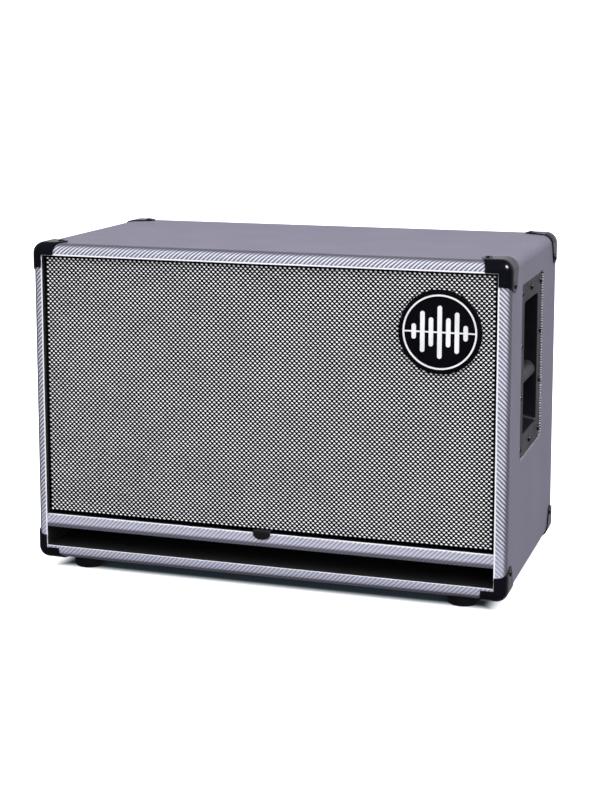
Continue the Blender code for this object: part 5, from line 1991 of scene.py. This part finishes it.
    def build_surround(self) -> None:
        """Turn the half roll as sectors, each meeting the cone at its inner edge."""
        skin = self.roll_skin
        outer_land = self.flush - GAP
        inner_land = self.cone_front - GAP
        roll_inner = self.cone_radius + 0.5 * MM
        roll_outer = self.rim - self.wall
        middle, radius = (roll_inner + roll_outer) / 2, (roll_outer - roll_inner) / 2
        bend = [math.pi * step / 12 for step in range(13)]
        outline = [
            (self.cone_radius - self.cone_land, inner_land),
            (self.cone_radius - self.cone_land, inner_land - skin),
            *[
                (middle - radius * math.cos(a), inner_land - skin - radius * math.sin(a))
                for a in bend[:-1]
            ],
            (roll_outer, outer_land - skin),
            (self.rim + self.cone_land, outer_land - skin),
            (self.rim + self.cone_land, outer_land),
            (roll_outer, outer_land),
            *[
                (middle + (radius - skin) * math.cos(a), inner_land - (radius - skin) * math.sin(a))
                for a in bend
            ],
        ]
        sweep = FULL_TURN / self.sectors
        centre = self.centre
        master = Bench.turned("surround_master", outline, centre, (0, 1, 0), 6, sweep)
        Bench.smooth(master, SOFT_ANGLE)
        self.dress(master, PALETTE.rubber)
        for index in range(self.sectors):
            turn = Matrix.Rotation(sweep * index, 4, "Y")
            change = Matrix.Translation(centre) @ turn @ Matrix.Translation(-centre)
            sector = Bench.twin(master, f"surround_{self.side.label}_{index}", change)
            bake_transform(sector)
            self.enter(sector, PALETTE.rubber, self.node("surround"))
        Bench.scrap(master)

    def build(self) -> None:
        """Build the driver."""
        self.build_frame()
        self.build_cone()
        self.build_surround()


@dataclass
class FrontBoard(Assembly):
    """Baffle with its rebated holes, and the horn let into it."""

    half: float = 286.0 * MM
    low: float = 70.3 * MM
    high: float = 400.5 * MM
    hole: float = 115.5 * MM
    horn_z: float = 354.5 * MM
    horn_front: float = -140.8 * MM
    flange_half: Pair = (50 * MM, 38 * MM)
    mouth_half: Pair = (43 * MM, 31 * MM)
    flange: float = 4 * MM
    wall: float = 2.5 * MM
    throat: float = 12.7 * MM
    collar: float = 28 * MM
    length: float = 60 * MM
    curve: float = 1.7
    steps: int = 10

    def build_baffle(self) -> None:
        """Model the baffle and cut its three holes."""
        baffle = Bench.block(
            "painted_baffle",
            (-self.half, PLAN.baffle_front, self.low),
            (self.half, PLAN.baffle_rear, self.high),
        )
        for side in Side:
            woofer = Woofer(side)
            rebate = woofer.flush + woofer.flange + GAP
            seat = woofer.radius + 0.5 * MM
            hole = [
                (0, -OVERRUN), (seat, -OVERRUN), (seat, rebate),
                (self.hole, rebate), (self.hole, 2 * OVERRUN), (0, 2 * OVERRUN),
            ]
            cutter = Bench.turned("cutout", hole, woofer.centre, (0, 1, 0), woofer.facets)
            Bench.combine(baffle, cutter, Way.CUT)
        hole_x, hole_z = (half + 3 * MM for half in self.mouth_half)
        front, rear = PLAN.baffle_front - OVERRUN, PLAN.baffle_rear + OVERRUN
        cutter = Bench.slab("horn_cutout", (0, self.horn_z), (hole_x, hole_z), front, rear)
        Bench.combine(baffle, cutter, Way.CUT)
        Bench.smooth(baffle)
        self.hand_over(baffle, PALETTE.paint, Body.CABINET, ["baffle"])

    def flare(self, name: str, grow: float, start: float, end: float) -> Object:
        """Model the flare's curved form by pulling its mouth inwards step by step.

        Args:
            name: name of the piece.
            grow: how much wider it is than the horn's inside.
            start: depth of its mouth behind the flange's face.
            end: depth of its throat.

        Returns:
            The form.
        """
        half = tuple(mouth + grow for mouth in self.mouth_half)
        front, rear = self.horn_front + start, self.horn_front + end
        piece = Bench.slab(name, (0, self.horn_z), half, front, front + MM)
        reach = rear - self.horn_front - start - MM
        narrow = self.throat + grow

        def sizes(step: int) -> list[float]:
            """Half width and half height of the flare after a step."""
            share = (1 - step / self.steps) ** self.curve
            return [narrow + (wide - narrow) * share for wide in half]

        with Bench.editing(piece, Kind.FACE):
            Bench.choose(piece, lambda _, normal: normal.y > 0.5)
            for step in range(1, self.steps + 1):
                Bench.pull((0, reach / self.steps, 0))
                (next_x, next_z), (last_x, last_z) = sizes(step), sizes(step - 1)
                share = (next_x / last_x, 1, next_z / last_z)
                Bench.stretch(share, (0, rear, self.horn_z))
        Bench.round_edges(piece, 5 * MM + grow, 5, lambda _, run: abs(run.y) > 0.35)
        return piece

    def build_horn(self) -> None:
        """Model the horn's flange, flare and throat collar."""
        axis, face = (0, self.horn_z), self.horn_front
        horn = Bench.slab("moulded_horn", axis, self.flange_half, face, face + self.flange)
        Bench.round_edges(horn, 7 * MM, 6, runs_along_y)
        front, rear = face + self.length - 5 * MM, face + self.length + 0.6 * MM
        Bench.combine(horn, self.flare("outside", self.wall, 0.6 * MM, self.length - MM), Way.FUSE)
        Bench.combine(horn, Bench.rod("collar", self.collar, axis, front, rear, 64), Way.FUSE)
        Bench.combine(horn, self.flare("inside", 0, -2 * MM, self.length - 5 * MM), Way.CUT)
        bore = Bench.rod("throat", self.throat, axis, front - 2 * MM, rear + OVERRUN, 64)
        Bench.combine(horn, bore, Way.CUT)
        Bench.smooth(horn)
        spread = tuple(half - 5 * MM for half in self.flange_half)
        seats = PanScrew.corners((0, face, self.horn_z), spread, (0, -1, 0))
        heads = PanScrew(radius=3.2 * MM, height=0.9 * MM, slot_depth=0.8 * MM).drive(seats)
        self.hand_over(horn, PALETTE.gloss, Body.CABINET, ["horn_flare"], heads)

    def build(self) -> None:
        """Build the baffle and the horn."""
        self.build_baffle()
        self.build_horn()


@dataclass
class Connections(Assembly):
    """Dished plate on the back with two sockets and a level knob."""

    z: float = 174.5 * MM
    face: float = 161.8 * MM
    board: float = 159.5 * MM
    thick: float = 2 * MM
    half: Pair = (76 * MM, 46 * MM)
    dish_half: Pair = (58 * MM, 29 * MM)
    screw_half: Pair = (67 * MM, 37.5 * MM)
    depth: float = 21 * MM
    sockets: Pair = (-38 * MM, -6 * MM)
    socket_hole: float = 5.9 * MM
    knob_hole: float = 4.8 * MM
    knob_x: float = 34 * MM
    knob_radius: float = 9.5 * MM
    flute: float = 0.92

    @property
    def floor(self) -> float:
        """Inner face of the dish's floor, from which heights run outwards."""
        return self.face - self.depth - self.thick

    def build_plate(self) -> None:
        """Model the plate, its dish, its holes and its screws."""
        middle, rear = (0, self.z), self.face - self.thick
        plate = Bench.slab("dished_connection_plate", middle, self.half, rear, self.face)
        Bench.round_edges(plate, 6 * MM, 6, runs_along_y)
        wide, tall = self.dish_half
        for name, grow, low, high, way in (
            ("outside", self.thick, self.floor, self.face - 0.6 * MM, Way.FUSE),
            ("inside", 0, self.floor + self.thick, self.face + MM, Way.CUT),
        ):
            form = Bench.slab(name, middle, (wide + grow, tall + grow), low, high)
            Bench.round_edges(form, 4 * MM + grow, 5, runs_along_y)
            Bench.combine(plate, form, way)
        holes = [(x, self.socket_hole) for x in self.sockets] + [(self.knob_x, self.knob_hole)]
        low, high = self.floor - OVERRUN, self.floor + self.thick + MM
        for x, radius in holes:
            Bench.combine(plate, Bench.rod("drill", radius, (x, self.z), low, high), Way.CUT)
        Bench.round_edges(plate, 0.6 * MM, 3, lambda middle, _: middle.y > self.face - HAIR)
        Bench.smooth(plate)
        seats = PanScrew.corners((0, self.face, self.z), self.screw_half, (0, 1, 0))
        heads = PanScrew(radius=4 * MM).drive(seats)
        self.hand_over(plate, PALETTE.steel, Body.CABINET, ["connection_plate"], heads)

    def build_sockets(self) -> None:
        """Turn each jack socket, with a washer and a six-sided nut."""
        low = self.thick + GAP
        for index, x in enumerate(self.sockets, start=1):
            centre = (x, self.floor, self.z)
            outline = [
                (0, -26 * MM), (9 * MM, -26 * MM), (9 * MM, -GAP), (5.6 * MM, -GAP),
                (5.6 * MM, low), (7.5 * MM, low), (7.5 * MM, low + 0.7 * MM),
                (5.2 * MM, low + 0.7 * MM), (5.2 * MM, low + 2.7 * MM), (4.9 * MM, low + 3 * MM),
                (3.8 * MM, low + 3 * MM), (3.4 * MM, low + 2.6 * MM),
                *in_mm((3.4, -23.5), (0, -23.5)),
            ]
            socket = Bench.turned(f"jack_socket_{index}", outline, centre, (0, 1, 0), 48)
            axis, foot = (x, self.z), self.floor + low
            nut = Bench.rod("nut", 7.2 * MM, axis, foot + 0.5 * MM, foot + 2.4 * MM, 6)
            bore = Bench.rod("nut_bore", 4.9 * MM, axis, self.floor, foot + OVERRUN)
            Bench.combine(nut, bore, Way.CUT)
            Bench.combine(socket, nut, Way.FUSE)
            Bench.smooth(socket)
            self.hand_over(socket, PALETTE.nickel, Body.CABINET, [f"input_socket_{index}"])

    def build_control(self) -> None:
        """Turn the level control, its fluted knob and the scale round it."""
        low = self.thick + GAP
        centre = Vector((self.knob_x, self.floor, self.z))
        outline = [
            (3.1 * MM, -11 * MM), (8.5 * MM, -11 * MM), (8.5 * MM, -GAP), (4.5 * MM, -GAP),
            (4.5 * MM, low), (6 * MM, low), (6 * MM, low + 2 * MM), (3.1 * MM, low + 2 * MM),
        ]
        control = Bench.turned("level_pot", outline, centre, (0, 1, 0), 48)
        Bench.smooth(control)
        self.hand_over(control, PALETTE.nickel, Body.CABINET, ["level_control"])

        base, top, radius = 5.2 * MM, 17.2 * MM, self.knob_radius
        outline = [
            (0, -7 * MM), (3 * MM, -7 * MM), (3 * MM, base), (radius - 0.3 * MM, base),
            (radius, base + 0.4 * MM), (radius, base + 2 * MM), (radius - 0.9 * MM, base + 3 * MM),
            (radius - 1.2 * MM, top - 1.2 * MM), (radius - 1.6 * MM, top - 0.4 * MM),
            (radius - 2.6 * MM, top), (0, top),
        ]
        knob = Bench.turned("fluted_level_knob", outline, centre, (0, 1, 0), 72)
        with Bench.editing(knob):
            def in_flute(point: Vector, _: Vector) -> bool:
                """Whether a corner lies in every third column of the knob's grip.

                Args:
                    point: the corner.

                Returns:
                    Whether it lies there.
                """
                out = point - centre
                height = out.y
                angle = math.degrees(math.atan2(out.x, out.z)) % 15
                away = math.hypot(out.x, out.z) > radius - 1.8 * MM
                return away and height > base + 2.5 * MM and (angle < 1 or angle > 14)
            Bench.choose(knob, in_flute)
            Bench.stretch((self.flute, 1, self.flute), centre)
        Bench.smooth(knob, 30, weighted=False)
        pointer = Bench.block(
            "pointer",
            centre + Vector((-0.6 * MM, top - 0.3 * MM, 0.5 * MM)),
            centre + Vector((0.6 * MM, top + 0.15 * MM, radius - 2.6 * MM)),
        )
        self.dress(pointer, PALETTE.white)
        self.hand_over(knob, PALETTE.gloss, Body.KNOB, ["level_knob"], [pointer])

        marks = []
        for step in range(11):
            mark = Bench.block(
                "mark",
                (-0.3 * MM, self.thick - 0.05 * MM, 12.2 * MM),
                (0.3 * MM, self.thick + 0.12 * MM, (15.5 if step % 5 == 0 else 14.2) * MM),
            )
            turn = Matrix.Rotation(math.radians(-150 + 30 * step), 4, "Y")
            marks.append(Bench.twin(mark, f"mark_{step}", Matrix.Translation(centre) @ turn))
            Bench.scrap(mark)
        scale = Bench.join(*marks)
        scale.name = scale.data.name = "level_scale_marks"
        self.hand_over(scale, PALETTE.white, Body.CABINET)

    def build_board_screws(self) -> None:
        """Drive the screws that hold the back board."""
        places = [(x, z) for x in (-270, -135, 0, 135, 270) for z in (46, 386)]
        places += [(x, z) for x in (-270, 270) for z in (159, 272)]
        seats = [((x, self.board, z), (0, 1, 0)) for x, z in in_mm(*places)]
        first, *rest = PanScrew().drive(seats)
        Bench.join(first, *rest)
        first.name = first.data.name = "back_board_screws"
        self.set_on(first, PALETTE.screw, Body.CABINET)

    def build(self) -> None:
        """Build everything on the back."""
        self.build_plate()
        self.build_sockets()
        self.build_control()
        self.build_board_screws()


@dataclass
class Leads(Assembly):
    """Insulated leads inside the box, from the filter board to drivers and sockets."""

    radius: float = 1.5 * MM
    samples: int = 40

    ROUTES = {
        "woofer_lead_left": (
            (-158, 127.3, 202.5), (-158, 115.3, 202.5), (-156, 77.3, 117),
            (-140, -24.2, 117), (-136, -52.2, 133), (-136, -64.2, 133),
        ),
        "woofer_lead_right": (
            (-146, 127.3, 202.5), (-146, 115.3, 202.5), (-126, 82.3, 107), (0, 67.3, 103),
            (106, 5.8, 117), (136, -52.2, 133), (136, -64.2, 133),
        ),
        "horn_lead": (
            (-134, 127.3, 202.5), (-134, 115.3, 202.5), (-104, 67.3, 232.5),
            (-60, 15.4, 294.5), (-6, 1.4, 342.5), (0, -22.6, 354.5), (0, -34.6, 354.5),
        ),
        "input_lead": (
            (-122, 127.3, 202.5), (-122, 115.3, 202.5), (-97, 99.3, 196.5),
            (-50, 88.5, 162.5), (-38, 100.5, 174.5), (-38, 112.5, 174.5),
        ),
    }

    def line(self, route: Sequence[Point]) -> list[Vector]:
        """Points of one smooth curve through a route whose two end runs stay straight.

        Args:
            route: points of the route, in millimetres.

        Returns:
            Points of the curve.
        """
        points = [Vector(point) * MM for point in route]
        spans = len(points) - 3
        line = [points[0]]
        for index in range(self.samples - 2):
            place = spans * index / (self.samples - 3)
            span = min(int(place), spans - 1)
            t = place - span
            a, b, c, d = points[span:span + 4]
            sample = b * 2 + (c - a) * t
            sample += (a * 2 - b * 5 + c * 4 - d) * t ** 2
            sample += (b * 3 - a - c * 3 + d) * t ** 3
            line.append(sample / 2)
        return line + [points[-1]]

    def build(self) -> None:
        """Lay the four leads as round curves along their routes, and report their lengths."""
        for node, route in self.ROUTES.items():
            line = self.line(route)
            curve = bpy.data.curves.new(f"insulated_{node}", "CURVE")
            curve.dimensions = "3D"
            curve.bevel_depth = self.radius
            curve.bevel_resolution = 3
            curve.use_fill_caps = True
            spline = curve.splines.new("POLY")
            spline.points.add(len(line) - 1)
            for knot, point in zip(spline.points, line):
                knot.co = (*point, 1)
            piece = bpy.data.objects.new(curve.name, curve)
            bpy.context.scene.collection.objects.link(piece)
            curve.materials.append(PALETTE.jacket.material())
            length = sum((b - a).length for a, b in zip(line, line[1:]))
            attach(piece, Body.CABINET.value)
            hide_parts(node)
            LOG.info("%s: %.0f mm long", piece.name, length / MM)


class BareParts(Assembly):
    """CAD nodes whose shapes stay, and the finishes they get."""

    FINISHES = (
        (
            PALETTE.birch,
            ("top_panel", "bottom_panel", "left_side_panel", "right_side_panel", "cross_brace"),
        ),
        (PALETTE.board_vinyl, ("back_panel",)),
        (PALETTE.paint, ("port_shelf", "grille_frame")),
        (
            PALETTE.webbing,
            ("hook_strip_left", "hook_strip_right", "loop_strip_left", "loop_strip_right"),
        ),
        (PALETTE.magnet, ("woofer_left_motor", "woofer_right_motor", "compression_driver")),
        (PALETTE.spider, ("woofer_left_spider", "woofer_right_spider")),
        (PALETTE.fibreglass, ("crossover_board",)),
    )

    def build(self) -> None:
        """Give every kept node its finish."""
        for finish, names in self.FINISHES:
            for name in names:
                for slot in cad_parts[name].material_slots:
                    slot.material = finish.material()
                LOG.info("%s: %s", name, finish.name)


@dataclass
class Studio:
    """Camera, pale floor, soft lamps and white surroundings."""

    camera_at: tuple[float, float, float] = (0.6448, -1.9966, 0.6516)
    forward: tuple[float, float, float] = (-0.30378, 0.94271, -0.13790)
    lens: float = 74.5
    sensor: float = 36.0
    shift: float = -0.1495
    floor_size: float = 30.0
    floor_colour: Colour = (0.93, 0.96, 0.98)
    # Painted shadow under the cabinet: its colour, and where it fades out.
    floor_painted_shadow: Colour = (0.07, 0.11, 0.125)
    floor_glow: float = 0.9
    shade_half: Pair = (0.3, 0.164)
    shade_deep: float = 0.033
    shade_edge: float = 0.007
    lamp_aim: Point = (0, -0.1, 0.25)
    horizon: float = 0.9
    zenith: float = 1.4
    under: float = 0.5
    dark: float = 0.05
    glow: float = 0.5
    below: float = 0.7

    def set_camera(self) -> None:
        """Stand the camera where the photograph was taken from."""
        Bench.clear()
        aim = Vector(self.forward).to_track_quat("-Z", "Y")
        bpy.ops.object.camera_add(location=self.camera_at, rotation=aim.to_euler())
        camera = bpy.context.object
        camera.name = "studio_camera"
        camera.data.lens = self.lens
        camera.data.sensor_width = self.sensor
        camera.data.shift_y = self.shift
        camera.data.clip_end = 100
        bpy.context.scene.camera = camera

    def lay_floor(self) -> None:
        """Lay a pale, glowing floor with a faint cloudiness and a painted shadow under the cabinet,
        where it is dim and does not glow.
        """
        Bench.clear()
        bpy.ops.mesh.primitive_plane_add(size=self.floor_size, location=(0, 0, 0))
        floor = bpy.context.object
        floor.name = "studio_floor"
        floor.visible_glossy = floor.visible_diffuse = False
        finish = bpy.data.materials.new("pale_studio_floor")
        recipe = Recipe(finish)
        place = recipe.place()
        x, y, _ = recipe.axes(place)
        wide, deep = self.shade_half
        # Painted shadow: inside the cabinet's footprint the floor turns dim and stops glowing.
        under = (wide - x.absolute()).least(deep - y.absolute())
        open_floor = under.ease(self.shade_deep, self.shade_edge)
        recipe.surface({
            "Base Color": recipe.blend(open_floor, self.floor_painted_shadow, self.floor_colour),
            "Roughness": 0.7 + recipe.noise(place, 0.7, 2) * 0.1,
            "Specular IOR Level": 0.2,
            "Emission Color": recipe.blend(open_floor, (0, 0, 0), self.floor_colour),
            "Emission Strength": self.floor_glow,
        })
        floor.data.materials.append(finish)

    def hang_lamp(
        self, name: str, at: Point, size: Pair, power: float, mirrored: bool
    ) -> None:
        """Hang one soft rectangular lamp that points at the cabinet.

        Args:
            name: name of the lamp.
            at: where it hangs.
            size: its width and height.
            power: its power in watts.
            mirrored: whether it is only seen mirrored, or else only lights matt surfaces.
        """
        Bench.clear()
        aim = (Vector(self.lamp_aim) - Vector(at)).to_track_quat("-Z", "Y")
        bpy.ops.object.light_add(type="AREA", location=at, rotation=aim.to_euler())
        lamp = bpy.context.object
        lamp.name = name
        lamp.data.shape = "RECTANGLE"
        lamp.data.size, lamp.data.size_y = size
        lamp.data.energy = power
        lamp.visible_glossy, lamp.visible_diffuse = mirrored, not mirrored

    def light(self) -> None:
        """Hang the lamps, and surround the stage with white that is darker behind the camera."""
        self.hang_lamp("overhead_softbox", (0.2, -1.9, 2.0), (2.0, 1.6), 42, mirrored=False)
        self.hang_lamp("side_softbox", (1.9, -2.3, 0.55), (0.7, 1.0), 18, mirrored=False)
        self.hang_lamp("gloss_panel", (2.3, -0.7, 2.3), (1.0, 1.0), 140, mirrored=True)
        world = bpy.data.worlds.new("white_surroundings")
        bpy.context.scene.world = world
        recipe = Recipe(world)
        _, y, z = recipe.axes(recipe.node("ShaderNodeTexCoord", {}, {})["Generated"])
        sky = z.most(0) * (self.zenith - self.horizon) + self.horizon
        filled = z.ease(-0.02, 0.02) * (sky - self.under) + self.under
        above = z.ease(-0.1, 0.05) * (1 - self.below) + self.below
        mirrored = y.ease(0.1, 0.8) * z.ease(0.8, 0.3) * above * self.glow + self.dark
        path = recipe.node("ShaderNodeLightPath", {}, {})
        strength = path["Is Glossy Ray"] * (mirrored - filled) + filled
        hue = recipe.blend(path["Is Glossy Ray"], (0.95, 0.955, 1.0), (0.92, 0.88, 1.0))
        lit = recipe.node("ShaderNodeBackground", {}, {"Color": hue, "Strength": strength})
        white = recipe.node("ShaderNodeBackground", {}, {"Color": (1, 1, 1), "Strength": 1.1})
        inputs = {0: path["Is Camera Ray"], 1: lit["Background"], 2: white["Background"]}
        mixed = recipe.node("ShaderNodeMixShader", {}, inputs)["Shader"]
        recipe.node("ShaderNodeOutputWorld", {}, {"Surface": mixed})
        bpy.context.scene.view_settings.view_transform = "Standard"

    def build(self) -> None:
        """Set the whole studio."""
        self.set_camera()
        self.lay_floor()
        self.light()


def main() -> None:
    """Build the studio and every sub-assembly, and report each piece."""
    logging.basicConfig(level=logging.INFO, format="%(message)s")
    Studio().build()
    assemblies = [
        Leads(), Covering(), CornerGuards(), Feet(), SideHandle(Side.LEFT), SideHandle(Side.RIGHT),
        Grille(), Woofer(Side.LEFT), Woofer(Side.RIGHT), FrontBoard(), Connections(), BareParts(),
    ]
    for assembly in assemblies:
        assembly.build()
        LOG.info("%s done", type(assembly).__name__)


if __name__ == "__main__":
    main()
